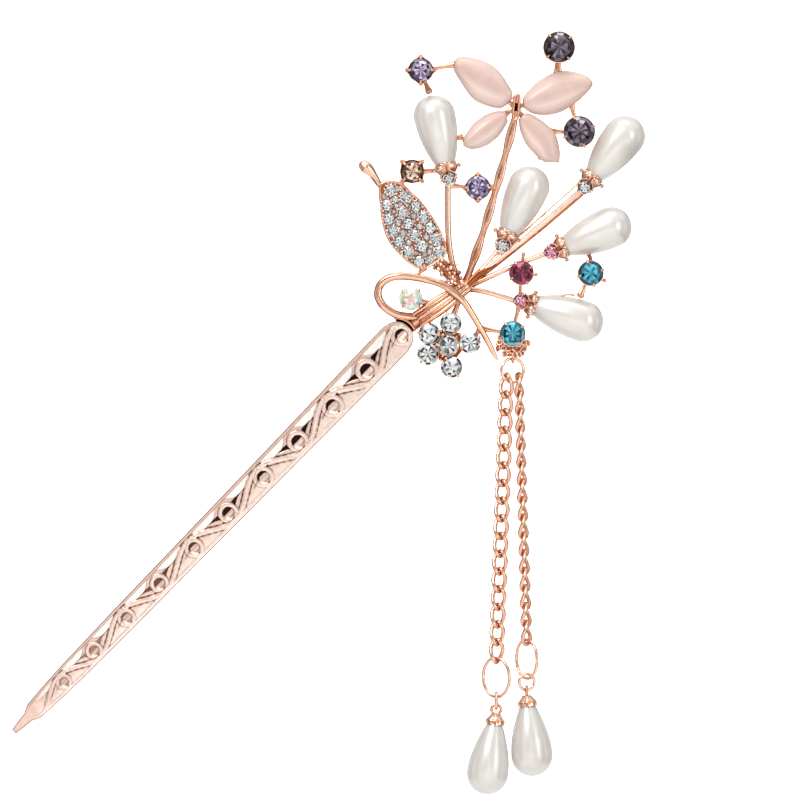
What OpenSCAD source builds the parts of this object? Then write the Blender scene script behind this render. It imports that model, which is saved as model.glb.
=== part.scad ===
/* [Stick] */
// Length of the hair stick from its point to its round top end
stick_length = 113; // [90:1:140]
// Width of the stick at its top end
stick_width = 7; // [6:0.1:9]
// Thickness of the plate under the stick's relief
stick_thick = 1.3; // [0.8:0.1:2.2]
// Height of the raised scrolls, rings and rims
relief = 0.4; // [0.2:0.05:0.8]
// Width of the narrow rim along the stick's upper edge
rim_w = 0.8; // [0.5:0.05:1.2]
// Width of the broad smooth border along the stick's lower edge
border_w = 1.3; // [0.8:0.05:1.6]
// Outer diameter of the top ring motif
motif_d = 4.5; // [3:0.1:5]
// Width of a ring motif's band and of a scroll's ridge
ridge_w = 0.7; // [0.4:0.05:0.9]
// Number of ring motifs along the stick
motif_count = 11; // [7:1:13]
// Lean of the stick from the level
stick_angle = 45.8; // [35:0.1:60]
// Distance from the stick's point to where the hair grips it
grip_distance = 67.6; // [45:0.1:80]

/* [Spray] */
// Distance from the top of the stick to the hub where the stems meet
hub_reach = 13.2; // [12:0.1:16]
// Heading of the hub from the top of the stick
hub_angle = 33.9; // [28:0.1:40]
// Distance from the hub to the farthest stone
spray_reach = 51.8; // [50:0.1:60]
// Thickness of a stem's wire
stem_d = 1.1; // [0.8:0.05:1.5]
// Width of the blade that the widest stem becomes below its pearl
blade_w = 2.2; // [1.6:0.1:3]
// Thickness of a short bar that ties neighbouring pieces together
tie_d = 1.2; // [0.7:0.05:1.6]
// Number of ribs in the bundle of stems
rib_count = 5; // [4:1:7]

/* [Ribbon loop] */
// Distance from the hub to the far side of the ribbon loop
ribbon_reach = 17; // [16.5:0.1:20]
// Width of the ribbon
ribbon_w = 1.6; // [1:0.1:2]
// Thickness of the ribbon towards the viewer
ribbon_deep = 1; // [0.6:0.1:1.4]

/* [Pearls] */
// Greatest diameter of a teardrop pearl
pearl_d = 8.3; // [7:0.1:8.6]
// Length of a teardrop pearl
pearl_length = 14.6; // [12:0.1:15.5]
// Diameter of a pearl's narrow end
pearl_neck = 2.8; // [2.2:0.1:3.2]
// Height of the metal cap on a bud's pearl
cap_h = 2.4; // [2:0.1:3]
// Height of the metal cap on a hanging drop's pearl
drop_cap_h = 1.9; // [1.5:0.1:2.4]
// Diameter of the small stone at the foot of each bud
bud_stone_d = 2.4; // [1.8:0.1:2.8]

/* [Stones] */
// Diameter of the dark stones beside the butterfly
dark_d = 5.8; // [4.5:0.1:6.4]
// Diameter of the violet stones
violet_d = 4.5; // [3.5:0.1:5]
// Diameter of the brown stone
brown_d = 4.1; // [3.2:0.1:4.6]
// Diameter of the magenta stone
magenta_d = 4.4; // [3.5:0.1:4.8]
// Diameter of the blue stones
blue_d = 4.6; // [3.6:0.1:5]
// Diameter of the pale iridescent stone inside the ribbon loop
aurora_d = 4.1; // [3.2:0.1:4.4]
// Diameter of the stones of the flower
flower_stone_d = 3.8; // [3:0.1:4.4]
// Diameter of the small stones that cover the leaf
leaf_stone_d = 2.45; // [1.9:0.05:2.8]
// Clear space round a stone in its setting
stone_gap = 0.1; // [0.08:0.01:0.15]
// Wall of a stone's cup
cup_wall = 0.25; // [0.2:0.01:0.4]

/* [Butterfly] */
// Length of the upper wings
upper_wing_length = 15; // [12:0.1:16]
// Width of the upper wings
upper_wing_w = 7.2; // [5.5:0.1:7.8]
// Length of the lower wings
lower_wing_length = 11.8; // [9:0.1:12.5]
// Width of the lower wings
lower_wing_w = 5.3; // [4:0.1:5.8]
// Thickness of a wing's polished shell at its middle
wing_thick = 2.2; // [1.6:0.1:3]

/* [Chains and drops] */
// Thickness of a chain link's wire
link_wire = 0.76; // [0.6:0.02:0.78]
// Width of a link between the middles of its wires
link_w = 2.3; // [2.2:0.05:2.6]
// Length of a link between the middles of its wires
link_length = 4.6; // [4.6:0.05:5]
// Turn of each end of a link out of its middle plane
link_twist = 50; // [48:1:52]
// Number of links in the left chain
left_links = 16; // [10:1:18]
// Number of links in the right chain
right_links = 15; // [10:1:18]
// Lean of the left chain from the plumb line
left_lean = 2.1; // [1.5:0.1:3]
// Lean of the right chain from the plumb line
right_lean = 1.7; // [1:0.1:2.4]
// Diameter of the hanger ring's middle line
hanger_d = 4.8; // [4.7:0.1:5.2]
// Thickness of the rings' wire
ring_wire = 0.66; // [0.5:0.02:0.7]
// Width of an oval ring between the middles of its wires
oval_w = 6.2; // [5.8:0.1:7]
// Height of an oval ring between the middles of its wires
oval_h = 7.8; // [7:0.1:9]
// Diameter of the small rings' middle line
small_ring_d = 3.2; // [3:0.1:4]

/* [Hidden] */

rose_gold = [0.84, 0.6, 0.5];
pearl_white = [0.95, 0.93, 0.88];
wing_pink = [0.93, 0.8, 0.75];
crystal_grey = [0.8, 0.84, 0.84];
aurora_green = [0.85, 0.95, 0.9];
dark_violet = [0.3, 0.28, 0.38];
violet = [0.48, 0.42, 0.66];
brown = [0.5, 0.33, 0.24];
magenta = [0.5, 0.1, 0.3];
bud_pink = [0.78, 0.35, 0.5];
aqua = [0.1, 0.6, 0.72];

// Overlap that fuses one solid's pieces
weld = 0.1;
// Air between two separate pieces that touch on the real object
air = 0.1;
// Level of the stems' middle line, and of the floor under the stones
stem_level = 0;
floor_level = 0.5;
// Underside of every cup
cup_bottom = -0.5;
// Sides of a wire, of a link's wire and of a link's round
wire_sides = 6;
link_wire_sides = 5;
link_sides = 12;
// Sides of a big cup and of a small cup
cup_sides = 10;
small_cup_sides = 8;
// Facets round a stone's table
stone_sides = 8;

// Places are written in the plane of the spray: x to the right, y up
function polar(angle, reach) = [reach * cos(angle), reach * sin(angle)];
function unit(v) = v / norm(v);
function mix(a, b, t) = a + (b - a) * t;
function at_level(p, level) = [p.x, p.y, level];

stick_top = polar(stick_angle, stick_length - grip_distance);
hub = stick_top + polar(hub_angle, hub_reach);

// Outline of the stick from its point to its round top end: share of the way, share of its width
STICK_OUTLINE = [
  [0, 0.15], [0.018, 0.24], [0.037, 0.3], [0.052, 0.54], [0.103, 0.64], [0.155, 0.7],
  [0.29, 0.77], [0.465, 0.82], [0.65, 0.88], [0.835, 0.95], [0.96, 1], [1, 0.98]
];
head_r = stick_width / 2 * 0.94;
motif_start = stick_length - head_r;
function stick_half(reach) = stick_width / 2 * lookup(reach / motif_start, STICK_OUTLINE);

// Buds: heading from the hub, share of the spray's reach, lean of the pearl
BUDS = [
  [97.7, 0.459, 102.8], [40.6, 0.641, 52], [22.8, 0.398, 22.7], [-12.2, 0.257, -18],
  [49.9, 0.255, 66]
];
function bud_base(i) = hub + polar(BUDS[i][0], BUDS[i][1] * spray_reach);
function bud_lean(i) = BUDS[i][2];

// Stems: heading at the hub, heading at the end, level at the hub
BUD_STEMS = [[122, 94, 0.062], [41, 43, -0.085], [26, 18, 0.131], [4, -8, -0.136], [47, 60, 0.233]];
butterfly_stem = [69, 76, 0.27];

// Stones: heading from the hub, share of the spray's reach, turn of the four prongs
VIOLET_1 = [101, 0.858, 0];
VIOLET_2 = [81.8, 0.394, 0];
DARK_1 = [68.4, 1, 40];
DARK_2 = [53.6, 0.751, 20];
BROWN = [113.5, 0.493, 45];
MAGENTA = [15.4, 0.232, 30];
BLUE_1 = [7, 0.494, 15];
BLUE_2 = [-42.2, 0.256, 35];
function spot(row) = hub + polar(row[0], row[1] * spray_reach);

butterfly = hub + polar(73.8, 0.732 * spray_reach);
// Wings: bearing, way from the butterfly's middle to the root as shares of a wing's width
wing_root_step = 1.5;
UPPER_LEFT = [144, upper_wing_length, upper_wing_w];
UPPER_RIGHT = [20, upper_wing_length, upper_wing_w];
LOWER_LEFT = [211, lower_wing_length, lower_wing_w];
LOWER_RIGHT = [-54, lower_wing_length, lower_wing_w];
// Half of a wing's outline: share of its length, share of its half width
WING_OUTLINE = [
  [0, 0.2], [0.1, 0.55], [0.25, 0.82], [0.42, 0.97], [0.58, 1], [0.74, 0.92], [0.87, 0.7],
  [0.95, 0.45], [1, 0.16]
];
wing_level = 0.7;

// The leaf is laid out in pitches of its stones: along the leaf, across to the left
leaf_pitch = leaf_stone_d + 0.15;
leaf_foot = hub + polar(147, 8.1);
leaf_lean = 114.9;
// Edges of the leaf from its foot to its tip: along, across
LEAF_LEFT = [[0.05, 0.2], [0.5, 0.9], [1.5, 1.45], [3, 1.88], [4.4, 1.8], [5.9, 1.35], [7.25, 0.75]];
LEAF_RIGHT = [
  [0.1, -0.5], [0.35, -1.35], [0.85, -1.8], [2, -1.9], [3.3, -1.8], [4.85, -1.5], [5.8, -1.1],
  [6.6, -0.8], [7.2, -0.1]
];
LEAF_OUTLINE = concat(LEAF_LEFT, [for (i = [len(LEAF_RIGHT) - 1 : -1 : 0]) LEAF_RIGHT[i]]);
// Rows of stones fill the leaf from edge to edge
leaf_rows = 7;
leaf_margin = 0.5;
function leaf_row_at(i) = 0.72 + 0.985 * i;
function leaf_row_low(i) = lookup(leaf_row_at(i), LEAF_RIGHT) + leaf_margin;
function leaf_row_high(i) = lookup(leaf_row_at(i), LEAF_LEFT) - leaf_margin;
function leaf_row_count(i) = max(1, floor((leaf_row_high(i) - leaf_row_low(i)) / 0.985) + 1);
LEAF_STONES = [for (i = [0 : leaf_rows - 1], j = [0 : leaf_row_count(i) - 1])
  let (n = leaf_row_count(i), low = leaf_row_low(i), high = leaf_row_high(i))
  [leaf_row_at(i), n == 1 ? (low + high) / 2 : mix(low, high, j / (n - 1))]];
// Curl at the leaf's tip: along, across, share of the curl's thickness
LEAF_CURL = [[6.9, 0.6, 0.8], [7.5, 0.75, 0.8], [8.3, 0.95, 0.85], [8.9, 1.2, 1.2], [9.25, 1.6, 1.5],
  [9.35, 1.8, 0.9]];
leaf_curl_d = 1.6;
function leaf_spot(row) = leaf_foot
  + (polar(leaf_lean, row[0]) + polar(leaf_lean + 90, row[1])) * leaf_pitch;

// The flower: bearings of its five petals round its centre stone
flower = hub + polar(255, 11.6);
// Reach of the plate behind the flower as a share of the way to the petals' middles
plate_share = 0.9;
PETALS = [83, 6, -81, -156, 149];
closest_petals = 55;
flower_ring = (flower_stone_d + 0.26) / (2 * sin(closest_petals / 2));
function petal(i) = flower + polar(PETALS[i], flower_ring);

aurora = hub + polar(190.3, 10.6);

// Ribbon loop from its hidden start to its pointed tail, as shares of its reach:
// right of the hub, above the hub, thickness, level
RIBBON = [
  [-0.5, -0.32, 0.9, 0], [-0.64, -0.32, 1, 0.3], [-0.77, -0.3, 1, 0.5], [-0.87, -0.25, 1, 0.5],
  [-0.95, -0.18, 1, 0.5], [-1, -0.08, 1, 0.5], [-0.99, 0.02, 1, 0.5], [-0.94, 0.09, 1, 0.6],
  [-0.85, 0.14, 1, 0.8], [-0.73, 0.155, 0.95, 1], [-0.57, 0.14, 0.9, 1], [-0.4, 0.105, 0.9, 1.2],
  [-0.24, 0.05, 0.9, 1.6], [-0.11, -0.04, 0.9, 1.8], [0.01, -0.15, 0.85, 1.8],
  [0.11, -0.3, 0.8, 1.4], [0.205, -0.46, 0.75, 0.9], [0.295, -0.62, 0.7, 0.5],
  [0.365, -0.76, 0.55, 0.3], [0.41, -0.83, 0.2, 0.2]
];
function ribbon_spot(i) = hub + [RIBBON[i][0], RIBBON[i][1]] * ribbon_reach;

// Rounds of a teardrop pearl: distance from its narrow end and radius there
pearl_r = pearl_d / 2;
pearl_taper = pearl_length - pearl_r;
taper_steps = 9;
round_steps = 8;
TEARDROP = concat(
  [for (i = [0 : taper_steps - 1]) let (t = i / taper_steps)
    [mix(pearl_neck / 2, pearl_r, sin(90 * t)), pearl_taper * t]],
  [for (i = [0 : round_steps]) let (turn = 90 * i / round_steps)
    [pearl_r * cos(turn), pearl_taper + pearl_r * sin(turn)]]
);
function pearl_radius(h) = mix(pearl_neck / 2, pearl_r, sin(90 * min(h / pearl_taper, 1)));
// Metal under a pearl's narrow end in its cap, on a bud and on a hanging drop
cap_floor = 0.9;
drop_floor = 1.3;

// A cut stone's heights as shares of its radius
table_share = 0.58;
girdle_share = 0.08;
crown_share = 0.34;
pavilion_share = 0.75;
function girdle_level(d) = floor_level + air + pavilion_share * d / 2;
function cup_top(d) = girdle_level(d) + girdle_share * d / 2 + 0.05;
function cup_r(d) = d / 2 + stone_gap + cup_wall;

// A prong's radius, its foot's way out of the cup's wall, its reach inwards as a share of the
// stone's radius, its height over the stone
prong_r = 0.32;
prong_out = 0.1;
prong_reach = 0.8;
prong_lift = 0.25;
prong_h = 0.22;
function prong_level(d) = girdle_level(d)
  + d / 2 * (girdle_share + (1 - prong_reach) * crown_share / (1 - table_share)) + prong_lift;

// The hanger below the second blue stone
blue_2 = spot(BLUE_2);
eye_r = 0.85;
eye_wire = 0.6;
// Way from the second blue stone's setting to the eye, past the collar
eye_way = 1.25;
eye = blue_2 + [0.1, -cup_r(blue_d) - eye_r - eye_way];
hanger_r = hanger_d / 2;
hanger_turn = 22;
hanger = eye - [0, eye_r - (eye_wire + ring_wire) / 2 - air + hanger_r];
// Distance between the middles of two wires that hang in each other
hang = (link_wire + ring_wire) / 2 + 0.21;
left_bearing = -150;
right_bearing = -27;
function hanger_point(bearing, reach) =
  [hanger.x + reach * cos(bearing) * cos(hanger_turn), hanger.y + reach * sin(bearing),
    -reach * cos(bearing) * sin(hanger_turn)];

link_pitch = link_length - link_wire - 0.3;
// Turn of each chain's links at its top and at its foot
LEFT_TURNS = [-24, 12];
RIGHT_TURNS = [78, 65];
function down(lean) = [-sin(lean), -cos(lean), 0];
function chain_link(bearing, lean, i) =
  hanger_point(bearing, hanger_r - hang) + down(lean) * (link_length / 2 + i * link_pitch);
function chain_foot(bearing, lean, count) =
  chain_link(bearing, lean, count - 1) + down(lean) * link_length / 2;

left_foot = chain_foot(left_bearing, left_lean, left_links);
right_foot = chain_foot(right_bearing, -right_lean, right_links);
oval_left_turn = -34;
oval_right_turn = -51;
oval_left = left_foot + [0, hang - oval_h / 2, 0];
oval_right = right_foot + [0, hang - oval_h / 2, 0];
small_r = small_ring_d / 2;
// Distance between the middles of the wires of two rings that hang in each other
ring_hang = ring_wire + 0.24;
left_pivot = oval_left - [0, oval_h / 2, 0];
small_left = left_pivot + [0, ring_hang - small_r, 0];
small_right = oval_right + [0, ring_hang - oval_h / 2 - small_r, 0];
small_right_turn = 20;
right_pivot = small_right - [0, small_r, 0];
drop_eye_r = 0.95;
drop_eye_wire = 0.6;
left_cap = small_left + [0, -small_r, 0];
left_drop_lean = 8.4;
right_drop_lean = -5;

module in_view() {
  rotate([90, 0, 0]) children();
}

// Turn of a tube's corners, as a share of a side, which keeps its faces off the upright
tube_turn = 0.4;

// A flattened wire of changing thickness along a path
module tube(path, radii, sides, deep = 1) {
  count = len(path);
  rounds = [for (i = [0 : count - 1])
    let (along = unit(path[min(i + 1, count - 1)] - path[max(i - 1, 0)]))
    let (side = unit(cross([0, 0, 1], along)), out = cross(along, side))
    for (j = [0 : sides - 1]) let (turn = 360 * (j + tube_turn) / sides)
      path[i] + radii[i] * (cos(turn) * side + deep * sin(turn) * out)];
  faces = concat(
    [[for (j = [0 : sides - 1]) j]],
    [[for (j = [sides - 1 : -1 : 0]) (count - 1) * sides + j]],
    [for (i = [0 : count - 2], j = [0 : sides - 1]) let (k = (j + 1) % sides)
      [i * sides + j, (i + 1) * sides + j, (i + 1) * sides + k, i * sides + k]]
  );
  polyhedron(rounds, faces, convexity = 8);
}

// One twisted link, its middle at the origin and its length upright
module curb_link(twist) {
  line = [for (i = [0 : link_sides - 1]) let (turn = 360 * i / link_sides, fold = twist * sin(turn))
    [link_w / 2 * cos(turn) * cos(fold), link_length / 2 * sin(turn),
      link_w / 2 * cos(turn) * sin(fold)]];
  rounds = [for (i = [0 : link_sides - 1])
    let (along = unit(line[(i + 1) % link_sides] - line[(i + link_sides - 1) % link_sides]))
    let (side = unit(line[i] - along * (line[i] * along)), out = cross(along, side))
    for (j = [0 : link_wire_sides - 1]) let (turn = 360 * j / link_wire_sides)
      line[i] + link_wire / 2 * (cos(turn) * side + sin(turn) * out)];
  faces = [for (i = [0 : link_sides - 1], j = [0 : link_wire_sides - 1], half = [0, 1])
    let (a = i * link_wire_sides, b = (i + 1) % link_sides * link_wire_sides)
    let (k = (j + 1) % link_wire_sides)
    half == 0 ? [a + j, b + j, b + k] : [a + j, b + k, a + k]];
  polyhedron(rounds, faces, convexity = 8);
}

module wire_ring(radius, wire) {
  rotate_extrude($fn = 48) translate([radius, 0]) circle(d = wire, $fn = 24);
}

// A cut stone with a table, a crown, a girdle and a pointed back; its girdle at the origin
module cut_stone(d) {
  r = d / 2;
  step = 360 / stone_sides;
  rim = [for (j = [0 : stone_sides - 1]) polar(step * j, r)];
  table = [for (j = [0 : stone_sides - 1]) polar(step * (j + 0.5), r * table_share)];
  points = concat(
    [for (p = table) at_level(p, (girdle_share + crown_share) * r)],
    [for (p = rim) at_level(p, girdle_share * r)],
    [for (p = rim) at_level(p, 0)],
    [[0, 0, -pavilion_share * r]]
  );
  n = stone_sides;
  faces = concat(
    [[for (j = [n - 1 : -1 : 0]) j]],
    [for (j = [0 : n - 1]) let (k = (j + 1) % n) [j, n + k, n + j]],
    [for (j = [0 : n - 1]) let (k = (j + 1) % n) [j, k, n + k]],
    [for (j = [0 : n - 1]) let (k = (j + 1) % n) [n + j, n + k, 2 * n + k, 2 * n + j]],
    [for (j = [0 : n - 1]) let (k = (j + 1) % n) [2 * n + j, 2 * n + k, 3 * n]]
  );
  polyhedron(points, faces, convexity = 4);
}

module stone_at(p, d) {
  in_view() translate(at_level(p, girdle_level(d))) cut_stone(d);
}

// Turn of a cup's corners past its prongs
cup_turn = 8;

// A cup round a stone, with prongs that bend over the stone's edge
module cup(p, d, turn, prongs = 4, sides = cup_sides) {
  translate(at_level(p, 0)) {
    difference() {
      translate([0, 0, cup_bottom]) rotate(turn + cup_turn)
        cylinder(r = cup_r(d), h = cup_top(d) - cup_bottom, $fn = sides);
      translate([0, 0, floor_level]) rotate(turn + cup_turn)
        cylinder(r = cup_r(d) - cup_wall / 2, h = cup_top(d), $fn = sides);
    }
    for (i = [0 : prongs - 1]) rotate(turn + 360 * i / prongs) hull() {
      translate([cup_r(d) + prong_out, 0, cup_top(d) - prong_h / 2])
        cylinder(r = prong_r, h = prong_h, $fn = 4);
      translate([prong_reach * d / 2 + prong_r, 0, prong_level(d)])
        cylinder(r = prong_r, h = prong_h, $fn = 4);
    }
  }
}

stem_steps = 7;
// Half the height of a stem and of a tie, which pass below the stones
stem_high = 0.442;
tie_high = 0.4;
// Stems start at different places round the hub: the least way back, and more with the level
stem_root = 0.4;
stem_stagger = 2;

// A bent stem that leaves and arrives at given headings
module stem(start, start_heading, end, end_heading, start_d, end_d, level) {
  from = start - polar(start_heading, stem_root + stem_stagger * level);
  pull = norm(end - from) / 3;
  lead = from + polar(start_heading, pull);
  trail = end - polar(end_heading, pull);
  path = [for (i = [0 : stem_steps]) let (t = i / stem_steps, s = 1 - t)
    at_level(s * s * s * from + 3 * s * s * t * lead + 3 * s * t * t * trail + t * t * t * end,
      mix(level, stem_level, t))];
  tube(path, [for (i = [0 : stem_steps]) mix(start_d, end_d, i / stem_steps) / 2], wire_sides,
    2 * stem_high / max(start_d, end_d));
}

// A short bar between two places: share of the way, share of its thickness
TIE = [[0, 1.3], [0.5, 0.9], [1, 1.3]];
module tie(a, b, d = tie_d) {
  tube([for (row = TIE) at_level(mix(a, b, row[0]), stem_level)], [for (row = TIE) row[1] * d / 2],
    wire_sides, 2 * tie_high / (TIE[0][1] * d));
}

// A pearl's cap, its foot at the origin and its mouth upwards, flared at its edge
module cap_shell(height, floor, sides, flare) {
  seat = pearl_neck / 2 + 0.15;
  mouth = pearl_radius(height - floor - air) + 0.15;
  difference() {
    rotate_extrude($fn = sides) polygon([
      [0, -cap_foot], [cap_foot_r, -cap_foot], [seat + cup_wall, floor * 0.7], [mouth + flare, height],
      [0, height]
    ]);
    rotate_extrude($fn = sides)
      polygon([[0, floor], [seat, floor], [mouth, height], [mouth, height + weld], [0, height + weld]]);
  }
}
cap_foot = 0.26;
cap_foot_r = 0.8;

module bud_place(i) {
  translate(at_level(bud_base(i), 0)) rotate(bud_lean(i) - 90) rotate([-90, 0, 0]) children();
}

// Reach of a pearl's round end from its cap's foot, and a place beside the pearl
pearl_reach = cap_floor + air + pearl_length;
function pearl_side(i, share, side, off) = bud_base(i)
  + polar(bud_lean(i), cap_floor + air + share * pearl_length)
  + polar(bud_lean(i) + 90 * side, pearl_radius(share * pearl_length) + off);

module pearl_solid() {
  rotate_extrude($fn = 64) polygon(concat([[0, 0]], TEARDROP));
}

module bud_pearl(i) {
  color(pearl_white) in_view() bud_place(i)
    translate([0, 0, cap_floor + air]) pearl_solid();
}

function bud_stone_spot(i) = bud_base(i) - polar(bud_lean(i), cup_r(bud_stone_d) + 0.1);

module bud_stone(i, tint) {
  color(tint) stone_at(bud_stone_spot(i), bud_stone_d);
}

function wing_root(wing) = butterfly + polar(wing[0], wing_root_step);
function wing_points(wing, grow) = concat(
  [for (row = WING_OUTLINE) [row[0] * wing[1], row[1] * wing[2] / 2 + grow]],
  [for (i = [len(WING_OUTLINE) - 1 : -1 : 0])
    [WING_OUTLINE[i][0] * wing[1], -WING_OUTLINE[i][1] * wing[2] / 2 - grow]]
);
// A place on a wing: share of its length, share of its half width
function wing_spot(wing, share, side) = wing_root(wing) + polar(wing[0], share * wing[1])
  + polar(wing[0] + 90, side * lookup(share, WING_OUTLINE) * wing[2] / 2);

// A polished shell, domed across its width and along its length
module wing(row) {
  edge = wing_thick * 0.35;
  rise = wing_thick - edge;
  across = (row[2] * row[2] / 4 + rise * rise) / (2 * rise);
  along = (row[1] * row[1] / 4 + rise * rise) / (2 * rise);
  color(wing_pink) in_view() translate(at_level(wing_root(row), wing_level)) rotate(row[0])
    intersection() {
      linear_extrude(wing_thick) polygon(wing_points(row, 0));
      translate([-1, 0, wing_thick - across]) rotate([0, 90, 0])
        cylinder(r = across, h = row[1] + 2, $fn = 96);
      translate([row[1] / 2, 0, wing_thick - along]) sphere(r = along, $fn = 128);
    }
}

module wing_back(row) {
  translate(at_level(wing_root(row), 0)) rotate(row[0])
    translate([0, 0, -0.1]) linear_extrude(wing_level - air + 0.1) polygon(wing_points(row, -0.15));
}

// The stick's outline or its sunk field, as a band about its middle line
module stick_band(upper_trim, lower_trim, from_row) {
  last = len(STICK_OUTLINE) - 1;
  polygon(concat(
    [for (i = [from_row : last]) let (row = STICK_OUTLINE[i])
      [row[0] * motif_start, -row[1] * stick_width / 2 + lower_trim]],
    [for (i = [last : -1 : from_row]) let (row = STICK_OUTLINE[i])
      [row[0] * motif_start, row[1] * stick_width / 2 - upper_trim]]
  ));
}

motif_pitch = (motif_start - 0.12 * stick_length) / (motif_count - 1);
function motif_at(i) = motif_start - i * motif_pitch;
function motif_scale(i) = stick_half(motif_at(i)) / (stick_width / 2);
function motif_r(i) = motif_d / 2 * motif_scale(i);
// The motifs sit midway between the narrow rim and the broad border
motif_shift = (border_w - rim_w) / 2;

module scroll(i) {
  steps = 8;
  start = motif_at(i) - motif_r(i) + ridge_w / 2;
  end = motif_at(i + 1) + motif_r(i + 1) - ridge_w / 2;
  swing = motif_r(i + 1) * 0.75;
  upper = [for (s = [0 : steps]) let (t = s / steps)
    [mix(start, end, t), -swing * cos(180 * t) + ridge_w * 0.6]];
  lower = [for (s = [steps : -1 : 0]) let (t = s / steps)
    [mix(start, end, t), -swing * cos(180 * t) - ridge_w * 0.6]];
  polygon(concat(upper, lower));
}

module stick() {
  face = stick_thick / 2;
  color(rose_gold) in_view() rotate(stick_angle) translate([-grip_distance, 0, 0]) {
    difference() {
      translate([0, 0, -face]) union() {
        linear_extrude(stick_thick + relief) stick_band(0, 0, 0);
        translate([motif_start, 0, 0]) cylinder(r = head_r, h = stick_thick + relief, $fn = 64);
      }
      translate([0, 0, face]) linear_extrude(relief + weld) stick_band(rim_w, border_w, 4);
      translate([motif_start, motif_shift, face])
        cylinder(r = head_r - rim_w, h = relief + weld, $fn = 64);
      for (i = [0 : motif_count - 1]) translate([motif_at(i), motif_shift, face - relief])
        cylinder(r = motif_r(i) - ridge_w, h = 2 * relief + weld, $fn = 48);
    }
    translate([0, motif_shift, face - weld]) {
      for (i = [0 : motif_count - 1]) translate([motif_at(i), 0, 0]) difference() {
        cylinder(r = motif_r(i), h = relief + weld, $fn = 48);
        translate([0, 0, -weld]) cylinder(r = motif_r(i) - ridge_w, h = relief + 4 * weld, $fn = 48);
      }
      for (i = [0 : motif_count - 2]) linear_extrude(relief + weld) scroll(i);
    }
  }
}

// Ribs of the bundle: share of the way to the hub, level, share of the spread
BUNDLE = [[0, 0.4, 1], [0.5, 0.9, 1], [1, 0.4, 0.6], [1.15, 0, 0.4]];
bundle_start = 2.6;
rib_step = 0.62 * stem_d;
// The ribs start on a round line about the stick's end
rib_round = 0.137;
// The tongue behind the stick's top end, which the stick is soldered on
tongue_r = 1.6;
tongue_flat = 0.5;
tongue_length = 9;
tongue_level = -stick_thick / 2 - air - tongue_r * tongue_flat * sin(45);

module bundle() {
  foot = stick_top + polar(hub_angle, bundle_start);
  side = polar(hub_angle + 90, rib_step);
  for (i = [0 : rib_count - 1]) {
    place = i - (rib_count - 1) / 2;
    start = foot - polar(hub_angle, rib_round * place * place);
    tube([for (row = BUNDLE) at_level(mix(start, hub, row[0]) + side * place * row[2], row[1])],
      [for (row = BUNDLE) stem_d / 2], wire_sides);
  }
  tube([at_level(stick_top - polar(stick_angle, tongue_length), tongue_level),
    at_level(stick_top, tongue_level), at_level(mix(foot, hub, 0.2), tongue_level * 0.4)],
    [for (i = [0 : 2]) tongue_r], 4, tongue_flat);
}

module ribbon() {
  path = [for (i = [0 : len(RIBBON) - 1]) at_level(ribbon_spot(i), RIBBON[i][3])];
  tube(path, [for (row = RIBBON) row[2] * ribbon_w / 2], wire_sides, ribbon_deep / ribbon_w);
}

leaf_pocket = pavilion_share * leaf_stone_d / 2 + air;
leaf_surface = floor_level + 0.3;

leaf_foot_r = 1.4;
leaf_foot_flat = 0.5;
leaf_foot_level = -0.12;

module leaf_tray() {
  difference() {
    translate([0, 0, cup_bottom]) linear_extrude(leaf_surface - cup_bottom)
      polygon([for (row = LEAF_OUTLINE) leaf_spot(row)]);
    for (row = LEAF_STONES) translate(at_level(leaf_spot(row), leaf_surface - leaf_pocket))
      cylinder(r = leaf_stone_d / 2 + stone_gap, h = leaf_pocket + 1, $fn = small_cup_sides);
  }
  tube([for (row = LEAF_CURL) at_level(leaf_spot(row), stem_level)],
    [for (row = LEAF_CURL) row[2] * leaf_curl_d / 2], wire_sides);
  // The lower end of the leaf runs into the hub
  tube([for (row = [leaf_spot([0.15, -0.75]), leaf_spot([-0.4, -1]), mix(leaf_foot, hub, 1.05)])
      at_level(row, leaf_foot_level)],
    [for (i = [0 : 2]) leaf_foot_r], wire_sides, leaf_foot_flat);
  tie(leaf_spot([0.12, 0.4]), ribbon_spot(10), tie_d);
}

module flower_frame() {
  // A plate behind the flower joins its cups
  translate([0, 0, cup_bottom + weld]) linear_extrude(floor_level - cup_bottom - 2 * weld)
    polygon([for (i = [0 : len(PETALS) - 1]) mix(flower, petal(i), plate_share)]);
  cup(flower, flower_stone_d, 45, 2, small_cup_sides);
  for (i = [0 : len(PETALS) - 1]) cup(petal(i), flower_stone_d, PETALS[i] + 25, 2, small_cup_sides);
  tie(petal(0), mix(petal(0), hub, 1.09), tie_d * 1.4);
  tie(petal(4), mix(stick_top, hub, 0.36), tie_d * 1.4);
  tie(petal(1), ribbon_spot(16), tie_d);
}

// Flared collar under the second blue stone: share of the way to the eye, share of its half width
COLLAR = [[0.3, 0.6], [0.62, 1], [0.97, 0.94]];
collar_r = 3.1;
collar_flat = 0.35;

module hanger_lug() {
  tie(blue_2, eye + [0, eye_r], tie_d * 1.4);
  tube([for (row = COLLAR) at_level(mix(blue_2, eye + [0, eye_r], row[0]), 0)],
    [for (row = COLLAR) row[1] * collar_r], wire_sides, collar_flat);
  translate(at_level(eye, 0)) rotate([0, 90, 0])
    rotate_extrude($fn = 12) translate([eye_r, 0]) circle(d = eye_wire, $fn = 6);
}

// The butterfly's body: share of its length from the middle, share of its thickness, level
BODY = [[-0.5, 0.7, 0.3], [0, 1, 0.9], [0.5, 0.55, 0.6]];
body_length = 4.8;
body_d = 1.5;
body_heading = 85;

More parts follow.
